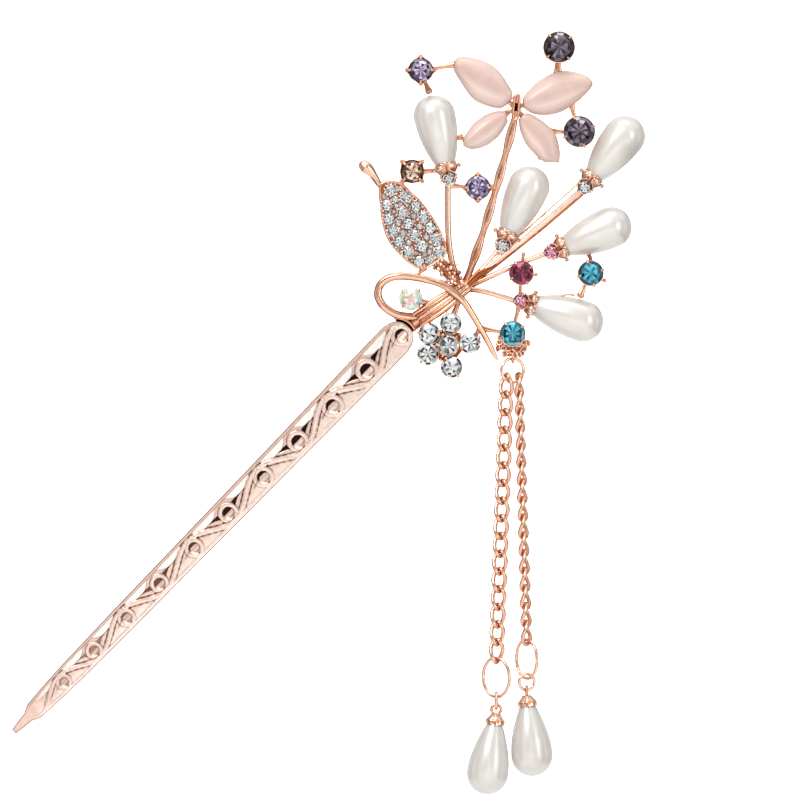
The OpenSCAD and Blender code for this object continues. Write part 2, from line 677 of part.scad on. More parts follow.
module butterfly_frame() {
  for (row = [UPPER_LEFT, UPPER_RIGHT, LOWER_LEFT, LOWER_RIGHT]) wing_back(row);
  for (row = [UPPER_LEFT, UPPER_RIGHT, LOWER_LEFT, LOWER_RIGHT])
    tie(butterfly, wing_root(row) + polar(row[0], 1.5), tie_d * 1.3);
  tube([for (row = BODY) at_level(butterfly + polar(body_heading, row[0] * body_length), row[2])],
    [for (row = BODY) row[1] * body_d / 2], wire_sides);
}

module stone_cups() {
  cup(spot(VIOLET_1), violet_d, VIOLET_1[2]);
  cup(spot(VIOLET_2), violet_d, VIOLET_2[2]);
  cup(spot(DARK_1), dark_d, DARK_1[2]);
  cup(spot(DARK_2), dark_d, DARK_2[2]);
  cup(spot(BROWN), brown_d, BROWN[2]);
  cup(spot(MAGENTA), magenta_d, MAGENTA[2]);
  cup(spot(BLUE_1), blue_d, BLUE_1[2]);
  cup(blue_2, blue_d, BLUE_2[2]);
  cup(aurora, aurora_d, 45);
}

module bud_frames() {
  for (i = [0 : len(BUDS) - 1]) {
    bud_place(i) cap_shell(cap_h, cap_floor, cup_sides, 0.7);
    cup(bud_stone_spot(i), bud_stone_d, bud_lean(i) + 90, 2, small_cup_sides);
    wide = i == 1;
    stem(hub, BUD_STEMS[i][0], bud_base(i), BUD_STEMS[i][1], wide ? blade_w * 0.6 : stem_d,
      wide ? blade_w : stem_d, BUD_STEMS[i][2]);
  }
}

module ties() {
  tie(spot(VIOLET_1), wing_spot(UPPER_LEFT, 0.92, 0.4), tie_d);
  tie(spot(DARK_1), wing_spot(UPPER_RIGHT, 0.52, 0.85), tie_d * 1.6);
  tie(spot(DARK_2), wing_spot(UPPER_RIGHT, 0.62, -0.85), tie_d);
  tie(spot(DARK_2), wing_spot(LOWER_RIGHT, 0.6, 0.8), tie_d);
  tie(spot(BROWN), bud_base(0) + polar(bud_lean(0), 0.35), tie_d * 1.3);
  tie(spot(BROWN), leaf_spot([6.7, -0.6]), tie_d);
  tie(spot(VIOLET_2), bud_base(0) - polar(bud_lean(0), 2.8), tie_d);
  tie(spot(VIOLET_2), mix(hub, butterfly, 0.56), tie_d);
  tie(spot(MAGENTA), bud_stone_spot(3), tie_d);
  tie(bud_stone_spot(3), blue_2, tie_d);
  tie(blue_2, ribbon_spot(16), tie_d);
  tie(aurora, mix(stick_top, hub, 0.55), tie_d * 1.5);
  tie(spot(VIOLET_1), bud_base(0) + polar(bud_lean(0), pearl_reach + 0.9), tie_d);
  tie(spot(BLUE_1), pearl_side(3, 0.58, 1, 0.8), tie_d);
  tie(wing_spot(LOWER_LEFT, 0.93, 0), pearl_side(0, 0.35, -1, 0.8), tie_d);
  back_stay();
}

// A hidden wire behind the third pearl carries the first blue stone
module back_stay() {
  depth = -pearl_radius(pearl_length * 0.2) - 0.75;
  side = pearl_side(2, 0.3, -1, 0.1);
  tube([at_level(bud_base(2), 0), at_level(bud_base(2) + polar(bud_lean(2), cap_floor), depth),
    at_level(side, depth + 0.3), at_level(spot(BLUE_1), 0)], [0.4, 0.45, 0.5, 0.5], wire_sides);
}

module head_frame() {
  color(rose_gold) in_view() union() {
    bundle();
    ribbon();
    leaf_tray();
    flower_frame();
    hanger_lug();
    butterfly_frame();
    stone_cups();
    bud_frames();
    ties();
    stem(hub, butterfly_stem[0], butterfly - polar(body_heading, body_length * 0.4), butterfly_stem[1],
      stem_d * 1.3, stem_d, butterfly_stem[2]);
  }
}

module leaf_stones() {
  color(crystal_grey) in_view()
    for (row = LEAF_STONES) translate(at_level(leaf_spot(row), leaf_surface)) cut_stone(leaf_stone_d);
}

module hanger_ring() {
  color(rose_gold) in_view() translate(at_level(hanger, 0)) rotate([0, hanger_turn, 0])
    wire_ring(hanger_r, ring_wire);
}

module chain(bearing, lean, count, turns, twist) {
  color(rose_gold) in_view() for (i = [0 : count - 1])
    translate(chain_link(bearing, lean, i)) rotate(-lean)
      rotate([0, mix(turns[0], turns[1], i / (count - 1)), 0]) curb_link(twist);
}

module half_ring(radius, wire) {
  rotate_extrude(angle = 180, $fn = 48) translate([radius, 0]) circle(d = wire, $fn = 24);
}

module oval_ring(place, turn) {
  straight = oval_h - oval_w;
  color(rose_gold) in_view() translate(place) rotate([0, turn, 0]) {
    translate([0, straight / 2, 0]) half_ring(oval_w / 2, ring_wire);
    translate([0, -straight / 2, 0]) rotate(180) half_ring(oval_w / 2, ring_wire);
    for (side = [-1, 1]) translate([side * oval_w / 2, 0, 0]) rotate([90, 0, 0])
      cylinder(d = ring_wire, h = straight, center = true, $fn = 24);
  }
}

module small_ring(place, turn) {
  color(rose_gold) in_view() translate(place) rotate([0, turn, 0]) wire_ring(small_r, ring_wire);
}

// A drop's cap, hung by an eye from a ring's wire at the given place
function drop_eye(place) = place + [0, drop_eye_wire / 2 + ring_wire / 2 + air - drop_eye_r, 0];
function drop_foot(place) = drop_eye(place) - [0, drop_eye_r + 0.1, 0];

module drop_cap(place, eye_turn, lean) {
  color(rose_gold) in_view() {
    translate(drop_eye(place)) rotate([0, eye_turn, 0]) wire_ring(drop_eye_r, drop_eye_wire);
    translate(drop_foot(place)) rotate(-lean) rotate([90, 0, 0]) cap_shell(drop_cap_h, drop_floor, 48, 0.2);
  }
}

module drop_pearl(place, lean) {
  color(pearl_white) in_view() translate(drop_foot(place)) rotate(-lean) rotate([90, 0, 0])
    translate([0, 0, drop_floor + air]) pearl_solid();
}

stick();
head_frame();
leaf_stones();
color(aurora_green) stone_at(aurora, aurora_d);  // aurora_stone
color(crystal_grey) stone_at(flower, flower_stone_d);  // flower_stone_centre
color(crystal_grey) stone_at(petal(0), flower_stone_d);  // flower_petal_1
color(crystal_grey) stone_at(petal(1), flower_stone_d);  // flower_petal_2
color(crystal_grey) stone_at(petal(2), flower_stone_d);  // flower_petal_3
color(crystal_grey) stone_at(petal(3), flower_stone_d);  // flower_petal_4
color(crystal_grey) stone_at(petal(4), flower_stone_d);  // flower_petal_5
color(violet) stone_at(spot(VIOLET_1), violet_d);  // violet_stone_1
color(violet) stone_at(spot(VIOLET_2), violet_d);  // violet_stone_2
color(dark_violet) stone_at(spot(DARK_1), dark_d);  // dark_stone_1
color(dark_violet) stone_at(spot(DARK_2), dark_d);  // dark_stone_2
color(brown) stone_at(spot(BROWN), brown_d);  // brown_stone
color(magenta) stone_at(spot(MAGENTA), magenta_d);  // magenta_stone
color(aqua) stone_at(spot(BLUE_1), blue_d);  // blue_stone_1
color(aqua) stone_at(blue_2, blue_d);  // blue_stone_2
bud_stone(0, crystal_grey);  // bud_stone_1
bud_stone(1, crystal_grey);  // bud_stone_2
bud_stone(2, bud_pink);  // bud_stone_3
bud_stone(3, bud_pink);  // bud_stone_4
bud_stone(4, crystal_grey);  // bud_stone_5
bud_pearl(0);  // bud_pearl_1
bud_pearl(1);  // bud_pearl_2
bud_pearl(2);  // bud_pearl_3
bud_pearl(3);  // bud_pearl_4
bud_pearl(4);  // bud_pearl_5
wing(UPPER_LEFT);  // wing_upper_left
wing(UPPER_RIGHT);  // wing_upper_right
wing(LOWER_LEFT);  // wing_lower_left
wing(LOWER_RIGHT);  // wing_lower_right
hanger_ring();
chain(left_bearing, left_lean, left_links, LEFT_TURNS, link_twist);  // chain_left
chain(right_bearing, -right_lean, right_links, RIGHT_TURNS, -link_twist);  // chain_right
oval_ring(oval_left, oval_left_turn);  // oval_ring_left
oval_ring(oval_right, oval_right_turn);  // oval_ring_right
small_ring(small_left, 90);  // small_ring_left
small_ring(small_right, small_right_turn);  // small_ring_right
drop_cap(left_cap, 0, left_drop_lean);  // drop_cap_left
drop_cap(right_pivot, 90, right_drop_lean);  // drop_cap_right
drop_pearl(left_cap, left_drop_lean);  // drop_pearl_left
drop_pearl(right_pivot, right_drop_lean);  // drop_pearl_right
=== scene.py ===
"""Looks of the buyao hairpin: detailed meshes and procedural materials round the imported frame."""
import math

import bmesh
import bpy
import numpy as np
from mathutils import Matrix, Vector


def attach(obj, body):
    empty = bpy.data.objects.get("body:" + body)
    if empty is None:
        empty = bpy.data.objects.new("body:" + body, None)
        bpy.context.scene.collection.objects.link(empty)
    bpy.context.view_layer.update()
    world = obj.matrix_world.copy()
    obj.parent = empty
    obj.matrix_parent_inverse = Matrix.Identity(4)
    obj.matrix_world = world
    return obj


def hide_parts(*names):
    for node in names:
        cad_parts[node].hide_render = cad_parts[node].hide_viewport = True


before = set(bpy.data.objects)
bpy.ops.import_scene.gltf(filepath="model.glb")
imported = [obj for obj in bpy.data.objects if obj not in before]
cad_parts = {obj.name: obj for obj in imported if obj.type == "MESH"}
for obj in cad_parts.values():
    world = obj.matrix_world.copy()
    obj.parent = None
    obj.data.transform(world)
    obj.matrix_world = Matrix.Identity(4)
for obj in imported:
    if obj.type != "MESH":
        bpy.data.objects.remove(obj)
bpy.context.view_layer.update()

# Places, in millimetres in the plane of the spray: x to the right, y up, z toward the viewer


def polar(angle, reach):
    a = math.radians(angle)
    return np.array([reach * math.cos(a), reach * math.sin(a)])


def mix(a, b, t):
    return a + (b - a) * t


def lift(p, z=0.0):
    return np.array([p[0], p[1], z])


def raised(path, z=0.0):
    return [lift(p, z) for p in path]


def step(lo, hi, x):
    t = np.clip((x - lo) / (hi - lo), 0.0, 1.0)
    return t * t * (3 - 2 * t)


def bell(x, width):
    """A soft hump that is 1 where x is 0."""
    return np.exp(-(x / width) ** 2)


def px(x, y):
    """A place read off the photograph, five pixels to a millimetre."""
    return np.array([(x - 250) / 5, (489 - y) / 5])


STICK_LENGTH, GRIP, STICK_W, STICK_ANGLE = 113.0, 67.6, 7.0, 45.8
HUB_REACH, HUB_ANGLE, SPRAY = 13.2, 33.9, 51.8
STICK_TOP = polar(STICK_ANGLE, STICK_LENGTH - GRIP)
HUB = STICK_TOP + polar(HUB_ANGLE, HUB_REACH)
# Bearing from the hub, reach as a share of the spray, and the way the bud points
BUDS = [(97.7, 0.459, 102.8), (40.6, 0.641, 52), (22.8, 0.398, 22.7), (-12.2, 0.257, -18), (49.9, 0.255, 66)]
# Bearing and reach, turn of the prongs, diameter of the stone and of its cup, colour
STONES = {
    "violet_stone_1": (101, 0.858, 0, 4.5, 4.5, "violet"),
    "violet_stone_2": (81.8, 0.394, 0, 4.5, 4.5, "violet"),
    "dark_stone_1": (68.4, 1, 40, 5.8, 5.8, "dark"),
    "dark_stone_2": (53.6, 0.751, 20, 5.8, 5.8, "dark"),
    "brown_stone": (113.5, 0.493, 45, 4.1, 4.3, "brown"),
    "magenta_stone": (15.4, 0.232, 30, 4.4, 4.4, "magenta"),
    "blue_stone_1": (7, 0.494, 15, 4.6, 4.6, "aqua"),
    "blue_stone_2": (-42.2, 0.256, 35, 4.6, 4.6, "aqua"),
}
BUD_STONE_D, FLOWER_D, LEAF_D, AURORA_D = 2.4, 3.8, 2.45, 4.1
PEARL_R, PEARL_LEN, PEARL_NECK = 4.15, 14.6, 1.4
CAP_FLOOR, DROP_CAP_H, DROP_FLOOR, AIR = 0.9, 1.9, 1.3, 0.1


def spot(name):
    return HUB + polar(STONES[name][0], STONES[name][1] * SPRAY)


def bud_base(i):
    return HUB + polar(BUDS[i][0], BUDS[i][1] * SPRAY)


def bud_stone_spot(i):
    return bud_base(i) - polar(BUDS[i][2], BUD_STONE_D / 2 + 0.45)


def pearl_radius(h):
    return mix(PEARL_NECK, PEARL_R, math.sin(math.pi / 2 * min(h / (PEARL_LEN - PEARL_R), 1)))


def girdle(d):
    return 0.6 + 0.75 * d / 2


BUTTERFLY, BUTTERFLY_LEAN, BUTTERFLY_LONG = HUB + polar(73.8, 0.732 * SPRAY), 85, 4.8
FLOWER = HUB + polar(255, 11.6)
PETALS = (83, 6, -81, -156, 149)
FLOWER_RING = (FLOWER_D + 0.26) / (2 * math.sin(math.radians(27.5)))
PETAL = [FLOWER + polar(a, FLOWER_RING) for a in PETALS]
AURORA = HUB + polar(190.3, 10.6)
LEAF_PITCH, LEAF_FOOT, LEAF_LEAN, LEAF_SURFACE = 2.6, HUB + polar(147, 8.1), 114.9, 0.8
LEAF_LEFT = np.array([[0.05, 0.2], [0.5, 0.9], [1.5, 1.45], [3, 1.88], [4.4, 1.8], [5.9, 1.35], [7.25, 0.75]])
LEAF_RIGHT = np.array([[0.1, -0.5], [0.35, -1.35], [0.85, -1.8], [2, -1.9], [3.3, -1.8], [4.85, -1.5],
                       [5.8, -1.1], [6.6, -0.8], [7.2, -0.1]])
LEAF_ROWS, LEAF_START, LEAF_STEP, LEAF_MARGIN = 7, 0.72, 0.985, 0.5


def leaf_spot(along, across):
    return LEAF_FOOT + (polar(LEAF_LEAN, along) + polar(LEAF_LEAN + 90, across)) * LEAF_PITCH


def leaf_edges(along):
    return [np.interp(along, rows[:, 0], rows[:, 1]) for rows in (LEAF_RIGHT, LEAF_LEFT)]


def leaf_stones():
    rows = []
    for i in range(LEAF_ROWS):
        at = LEAF_START + LEAF_STEP * i
        low, high = leaf_edges(at)
        low, high = low + LEAF_MARGIN, high - LEAF_MARGIN
        n = max(1, math.floor((high - low) / LEAF_STEP) + 1)
        rows += [(at, (low + high) / 2 if n == 1 else mix(low, high, j / (n - 1))) for j in range(n)]
    return rows


# Right, up, half width and height along the ribbon loop
RIBBON = np.array([
    [-0.5, -0.32, 0.9, 0], [-0.64, -0.32, 1, 0.3], [-0.77, -0.3, 1, 0.5], [-0.87, -0.25, 1, 0.5],
    [-0.95, -0.18, 1, 0.5], [-1, -0.08, 1, 0.5], [-0.99, 0.02, 1, 0.5], [-0.94, 0.09, 1, 0.6],
    [-0.85, 0.14, 1, 0.8], [-0.73, 0.155, 0.95, 1], [-0.57, 0.14, 0.9, 1], [-0.4, 0.105, 0.9, 1.2],
    [-0.24, 0.05, 0.9, 1.6], [-0.11, -0.04, 0.9, 1.8], [0.01, -0.15, 0.85, 1.8], [0.11, -0.3, 0.8, 1.4],
    [0.205, -0.46, 0.75, 0.9], [0.295, -0.62, 0.7, 0.5], [0.365, -0.76, 0.55, 0.3], [0.41, -0.83, 0.2, 0.2]])
RIBBON_REACH = 17


def ribbon_spot(i):
    return HUB + RIBBON[i, :2] * RIBBON_REACH


# The hanger and what hangs on it
BLUE_2 = spot("blue_stone_2")
EYE_R, EYE_WIRE, RING_WIRE, LINK_WIRE, LINK_W, LINK_LEN = 0.85, 0.6, 0.66, 0.76, 2.3, 4.6
EYE = BLUE_2 + np.array([0.1, -(STONES["blue_stone_2"][3] / 2 + 0.35) - EYE_R - 1.25])
HANGER_R, HANGER_TURN = 2.4, 22
HANGER = EYE - np.array([0, EYE_R - (EYE_WIRE + RING_WIRE) / 2 - AIR + HANGER_R])
HANG = (LINK_WIRE + RING_WIRE) / 2 + 0.21
PITCH = LINK_LEN - LINK_WIRE - 0.3
# Bearing on the hanger ring, lean, links, turn of the first and the last link, twist
CHAINS = {"chain_left": (-150, 2.1, 16, (-24, 12), 50), "chain_right": (-27, -1.7, 15, (78, 65), -50)}
OVAL_W, OVAL_H, SMALL_R, RING_HANG = 6.2, 7.8, 1.6, 0.9
DROP_EYE_R, DROP_WIRE = 0.95, 0.6


def chain_down(name):
    return -lift(polar(90 - CHAINS[name][1], 1))


def chain_link(name, i):
    x, y = polar(CHAINS[name][0], HANGER_R - HANG)
    turn = math.radians(HANGER_TURN)
    top = lift(HANGER) + np.array([x * math.cos(turn), y, -x * math.sin(turn)])
    return top + chain_down(name) * (LINK_LEN / 2 + i * PITCH)


def chain_foot(name):
    return chain_link(name, CHAINS[name][2] - 1) + chain_down(name) * LINK_LEN / 2


UP = np.array([0, 1.0, 0])
OVAL_LEFT, OVAL_RIGHT = (chain_foot(name) + UP * (HANG - OVAL_H / 2) for name in CHAINS)
SMALL_LEFT, SMALL_RIGHT = (oval - UP * (OVAL_H / 2 - RING_HANG + SMALL_R) for oval in (OVAL_LEFT, OVAL_RIGHT))
# Place, lean and turn of the eye
DROPS = {"left": (SMALL_LEFT - UP * SMALL_R, 8.4, 0), "right": (SMALL_RIGHT - UP * SMALL_R, -5, 90)}


def drop_eye(side):
    return DROPS[side][0] + UP * (DROP_WIRE / 2 + RING_WIRE / 2 + AIR - DROP_EYE_R)


def drop_foot(side):
    return drop_eye(side) - UP * (DROP_EYE_R + 0.1)


# Meshes


def rot(axis, angle):
    a = math.radians(angle)
    c, s = math.cos(a), math.sin(a)
    return np.array({"x": [[1, 0, 0], [0, c, -s], [0, s, c]], "y": [[c, 0, s], [0, 1, 0], [-s, 0, c]],
                     "z": [[c, -s, 0], [s, c, 0], [0, 0, 1]]}[axis], float)


TINY = 1e-9


def unit(rows):
    return rows / np.maximum(np.linalg.norm(rows, axis=1)[:, None], TINY)


def heading(line, closed=False):
    """Unit directions along a line."""
    return unit(np.roll(line, -1, 0) - np.roll(line, 1, 0) if closed else np.gradient(line, axis=0))


def circle(count):
    return 2 * np.pi * np.arange(count) / count


def smooth_path(rows, count):
    """Catmull-Rom curve through rows of numbers."""
    p = np.asarray(rows, float)
    p = np.vstack([2 * p[0] - p[1], p, 2 * p[-1] - p[-2]])
    t = np.linspace(0, len(p) - 3, count)
    i = np.minimum(t.astype(int), len(p) - 4)
    u = (t - i)[:, None]
    a, b, c, d = p[i], p[i + 1], p[i + 2], p[i + 3]
    bend, twist = 2 * a - 5 * b + 4 * c - d, 3 * b - a - 3 * c + d
    return 0.5 * (2 * b + (c - a) * u + bend * u ** 2 + twist * u ** 3)


def grid(rows, cols, loop_rows=False, loop_cols=False):
    """Quads over a grid of points, row by row."""
    r = np.arange(rows if loop_rows else rows - 1)
    c = np.arange(cols if loop_cols else cols - 1)
    r, c = (w.ravel() for w in np.meshgrid(r, c, indexing="ij"))
    r2, c2 = (r + 1) % rows, (c + 1) % cols
    return np.stack([r * cols + c, r * cols + c2, r2 * cols + c2, r2 * cols + c], axis=1).tolist()


def skin(rows, sides):
    """Quads over a row of rings, and a face at either end."""
    last = (rows - 1) * sides
    return grid(rows, sides, loop_cols=True) + [list(range(sides))[::-1], [last + k for k in range(sides)]]


def wall(rows, cols):
    """Quads between the borders of two equal grids that follow each other."""
    last, n = cols - 1, rows * cols
    ring = [i * cols for i in range(rows)] + [n - cols + j for j in range(1, cols)]
    ring += [i * cols + last for i in range(rows - 2, -1, -1)] + list(range(cols - 2, 0, -1))
    return [[a, b, n + b, n + a] for a, b in zip(ring, ring[1:] + ring[:1])]


def sweep(line, side, out, wide, deep, sides):
    """Rings of points round a line, wide along side and deep along out."""
    a = circle(sides)[:, None]
    side, out = (np.broadcast_to(w, line.shape)[:, None] for w in (side, out))
    wide, deep = (np.broadcast_to(w, len(line))[:, None, None] for w in (wide, deep))
    return (line[:, None] + wide * np.cos(a) * side + deep * np.sin(a) * out).reshape(-1, 3)


def put(name, data):
    ob = bpy.data.objects.new(name, data)
    bpy.context.scene.collection.objects.link(ob)
    return ob


class Shape:
    """Collects the surfaces of one piece; tone paints light and shade into the colour: 1 is painted shade in
    dark recesses and -1 a painted highlight on bright crests.
    """

    def __init__(self):
        self.v, self.f, self.tone, self.slot, self.tint, self.count = [], [], [], [], [], 0

    def add(self, verts, faces, tone=0.0, slot=0, tint=()):
        self.v.append(np.asarray(verts, float))
        self.tone.append(np.broadcast_to(tone, len(verts)))
        self.f += [[k + self.count for k in face] for face in faces]
        self.slot += [slot] * len(faces)
        self.tint += tint
        self.count += len(verts)

    def tube(self, path, radii, sides=14, deep=1.0, tone=0.0, round_ends=True, ring_tone=None, edge=0.0):
        """A tube; ring_tone gives the painted light and shade along it, and edge paints shade along its two
        sides.
        """
        p, r = np.asarray(path, float), np.broadcast_to(radii, len(path))
        t = heading(p)
        side = unit(np.cross([0, 0, 1.0], t))
        out = np.cross(t, side)
        if round_ends:
            a = np.radians([75, 50, 25])
            head = p[0] - 0.8 * r[0] * np.sin(a)[:, None] * t[0]
            tail = p[-1] + 0.8 * r[-1] * np.sin(a[::-1])[:, None] * t[-1]
            p = np.vstack([head, p, tail])
            r = np.concatenate([r[0] * np.cos(a), r, r[-1] * np.cos(a[::-1])])
            side, out = (np.pad(w, ((3, 3), (0, 0)), "edge") for w in (side, out))
        if ring_tone is not None:
            tone = np.repeat(ring_tone(np.linspace(0, 1, len(p))), sides)
        tone = tone + np.tile(edge * np.abs(np.cos(circle(sides))) ** 4, len(p))
        self.add(sweep(p, side, out, r, deep * r, sides), skin(len(p), sides), tone)

    def lathe(self, profile, place, turn, sides=48, lobes=None, tone=0.0):
        """Turns (radius, height) rows about z; lobes(angle, row) scales radius and adds height."""
        prof, a = np.asarray(profile, float), circle(sides)
        r, h = (np.repeat(prof[:, k:k + 1], sides, axis=1) for k in (0, 1))
        if lobes is not None:
            for k in range(len(prof)):
                grow, rise = lobes(a, k)
                r[k] *= grow
                h[k] += rise
        v = np.stack([r * np.cos(a), r * np.sin(a), h], axis=2).reshape(-1, 3) @ turn.T + place
        self.add(v, skin(len(prof), sides), np.repeat(tone, sides) if np.ndim(tone) else tone)

    def bead(self, place, r, flat=1.0, tone=0.0):
        h = np.radians(np.linspace(-80, 80, 7))
        self.lathe(np.stack([r * np.cos(h), flat * r * np.sin(h)], axis=1), place, np.eye(3), 10, tone=tone)

    def ring(self, place, turn, radius, wire, long=64, sides=16, tone=0.0, tall=0.0):
        """A wire ring; tall stretches it to an oval."""
        a = circle(long)
        line = np.stack([radius * np.cos(a), (radius + tall / 2) * np.sin(a), 0 * a], axis=1)
        side = heading(line, True)[:, [1, 0, 2]] * [1, -1, 0]
        v = sweep(line, side, [0, 0, 1.0], wire / 2, wire / 2, sides)
        self.add(v @ turn.T + place, grid(long, sides, True, True), tone)

    def plate(self, outline, low, high, tone=0.0, slot=0, bevel=0.12):
        """A flat plate with a bevelled upper edge; tone is for its upper face."""
        o = np.asarray(outline, float)
        mid, n = o.mean(axis=0), len(o)
        inner = o + unit(mid - o) * bevel
        v = raised(o, low) + raised(o, high - bevel) + raised(inner, high) + [lift(mid, high), lift(mid, low)]
        faces = grid(3, n, loop_cols=True)
        faces += [[2 * n + k, 2 * n + (k + 1) % n, 3 * n] for k in range(n)]
        faces += [[(k + 1) % n, k, 3 * n + 1] for k in range(n)]
        self.add(v, faces, np.concatenate([np.zeros(2 * n), np.full(n + 1, tone), [0.0]]), slot)

    def piece(self, name, body, nodes, materials, record_slot, smooth=True, sharp=38):
        v = np.vstack(self.v)
        world = np.column_stack([v[:, 0], -v[:, 2], v[:, 1]]) / 1000
        mesh = bpy.data.meshes.new(name)
        mesh.from_pydata(world.tolist(), [], self.f)
        mesh.update()
        mesh.attributes.new("tone", "FLOAT", "POINT").data.foreach_set("value", np.concatenate(self.tone))
        if self.tint:
            colours = np.column_stack([np.array(self.tint), np.ones(len(self.tint))])
            colours = np.repeat(colours, [p.loop_total for p in mesh.polygons], axis=0)
            mesh.attributes.new("tint", "FLOAT_COLOR", "CORNER").data.foreach_set("color", colours.ravel())
        mesh.polygons.foreach_set("material_index", self.slot)
        bm = bmesh.new()
        bm.from_mesh(mesh)
        bmesh.ops.recalc_face_normals(bm, faces=bm.faces)
        bm.to_mesh(mesh)
        bm.free()
        if smooth:
            mesh.shade_smooth()
            mesh.set_sharp_from_angle(angle=math.radians(sharp))
        else:
            mesh.shade_flat()
        for m in materials:
            mesh.materials.append(m)
        ob = put(name + "_look", mesh)
        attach(ob, body)
        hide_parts(*nodes)


# Materials


def lin(*rgb):
    return [((c / 255 + 0.055) / 1.055) ** 2.4 if c > 10 else c / 255 / 12.92 for c in rgb] + [1.0]


def grey(value):
    return value, value, value


def feed(tree, socket, value):
    """Links a socket to another one, or sets its constant."""
    if isinstance(value, bpy.types.NodeSocket):
        tree.links.new(value, socket)
    else:
        socket.default_value = value


def plug(tree, n, **sockets):
    """Feeds the named sockets of a node; _ stands for the space in a name."""
    for name, value in sockets.items():
        feed(tree, n.inputs[name.replace("_", " ")], value)
    return n


def node(tree, kind, **sockets):
    return plug(tree, tree.nodes.new("ShaderNode" + kind), **sockets)


def material(name):
    mat = bpy.data.materials.new(name)
    mat.use_nodes = True
    tree = mat.node_tree
    tree.nodes.clear()
    bsdf = node(tree, "BsdfPrincipled")
    node(tree, "OutputMaterial", Surface=bsdf.outputs[0])
    return mat, tree, bsdf


def noise(tree, scale, detail=3.0, rough=0.55):
    where = node(tree, "TexCoord").outputs["Object"]
    return node(tree, "TexNoise", Vector=where, Scale=scale, Detail=detail, Roughness=rough).outputs["Fac"]


def ramp(tree, source, *stops):
    """Colours given as the photo's numbers, each after its place on the ramp."""
    r = node(tree, "ValToRGB", Fac=source)
    marks = r.color_ramp.elements
    marks.remove(marks[1])
    marks[0].position = stops[0][0]
    for i, (at, rgb) in enumerate(stops):
        mark = marks.new(at) if i else marks[0]
        mark.color = lin(*rgb)
    return r.outputs[0]


def spread(tree, source, low, high, from_low=0.0, from_high=1.0):
    ends = {"From_Min": from_low, "From_Max": from_high, "To_Min": low, "To_Max": high}
    return node(tree, "MapRange", Value=source, **ends).outputs[0]


def blend(tree, fac, a, b, how="MIX"):
    m = node(tree, "Mix")
    m.data_type, m.blend_type = "RGBA", how
    for socket, value in ((0, fac), (6, a), (7, b)):
        feed(tree, m.inputs[socket], value)
    return m.outputs[2]


def calc(tree, how, *values):
    m = node(tree, "Math")
    m.operation = how
    for socket, value in zip(m.inputs, values):
        feed(tree, socket, value)
    return m.outputs[0]


def attribute(tree, name, out="Fac"):
    n = node(tree, "Attribute")
    n.attribute_name = name
    return n.outputs[out]


def tone_share(tree):
    """The tone of painted light and shade, from 0 on crests to 1 in recesses."""
    return spread(tree, attribute(tree, "tone"), 0.0, 1.0, -1.0, 1.0)


def bump(tree, source, height):
    return node(tree, "Bump", Height=source, Distance=height, Strength=1.0).outputs[0]


def gold(name, base, bright, dark, rough=(0.14, 0.26), scratch=0.000008, metallic=1.0):
    """Plated metal: a warm tone that pales with painted highlights on crests and darkens to near black with
    painted shade in recesses.
    """
    mat, tree, bsdf = material(name)
    tone = ramp(tree, tone_share(tree), (0.0, bright), (0.46, base), (0.74, dark), (0.94, (36, 10, 4)),
                (1.0, (22, 5, 2)))
    cloud = ramp(tree, noise(tree, 900.0), (0.35, (243, 240, 238)), (0.7, grey(255)))
    plug(tree, bsdf, Metallic=metallic, Base_Color=blend(tree, 1.0, tone, cloud, "MULTIPLY"),
         Roughness=spread(tree, noise(tree, 2600.0, 5.0, 0.6), *rough, 0.35, 0.7),
         Normal=bump(tree, noise(tree, 5200.0, 4.0, 0.6), scratch))
    return mat


def crystal():
    """Foiled glass: each facet's base colour is a painted reflection, a fixed light or dark shade of its
    stone colour.
    """
    mat, tree, bsdf = material("foiled_crystal")
    cloud = noise(tree, 1500.0, 2.0)
    shade = ramp(tree, cloud, (0.35, grey(222)), (0.65, grey(255)))
    plug(tree, bsdf, Base_Color=blend(tree, 1.0, attribute(tree, "tint", "Color"), shade, "MULTIPLY"),
         Roughness=spread(tree, cloud, 0.03, 0.08), Metallic=0.6, IOR=1.6, Coat_Weight=0.5,
         Coat_Roughness=0.02)
    return mat


def nacre(name, shade):
    mat, tree, bsdf = material(name)
    stops = [(0.3, (214, 210, 203)), (0.5, (223, 219, 213)), (0.7, (217, 215, 211))]
    glow = ramp(tree, noise(tree, 170.0, 2.0), *((at, [shade * v for v in rgb]) for at, rgb in stops))
    plug(tree, bsdf, Base_Color=glow, Roughness=spread(tree, noise(tree, 700.0), 0.3, 0.36), Metallic=0.3,
         Coat_Weight=0.5, Coat_Roughness=0.16, Normal=bump(tree, noise(tree, 1400.0, 2.0), 0.00001))
    return mat


def shell():
    """Polished pink shell: a darker middle and a soft pale band of painted highlight, with fine streaks along
    the wing.
    """
    mat, tree, bsdf = material("wing_shell")
    colour = ramp(tree, tone_share(tree), (0.0, (190, 158, 147)), (0.35, (208, 178, 168)),
                  (0.5, (218, 190, 180)), (0.8, (244, 226, 220)), (1.0, (236, 214, 205)))
    cloud = noise(tree, 260.0, 4.0, 0.6)
    share = spread(tree, cloud, 0.0, 0.5, 0.4, 0.7)
    plug(tree, bsdf, Base_Color=blend(tree, share, colour, lin(226, 200, 190)), Coat_Weight=0.35,
         Coat_Roughness=0.12, Roughness=spread(tree, cloud, 0.3, 0.42), Subsurface_Weight=0.2,
         Subsurface_Radius=(0.001, 0.0006, 0.0005), Normal=bump(tree, noise(tree, 900.0, 3.0), 0.00002))
    return mat


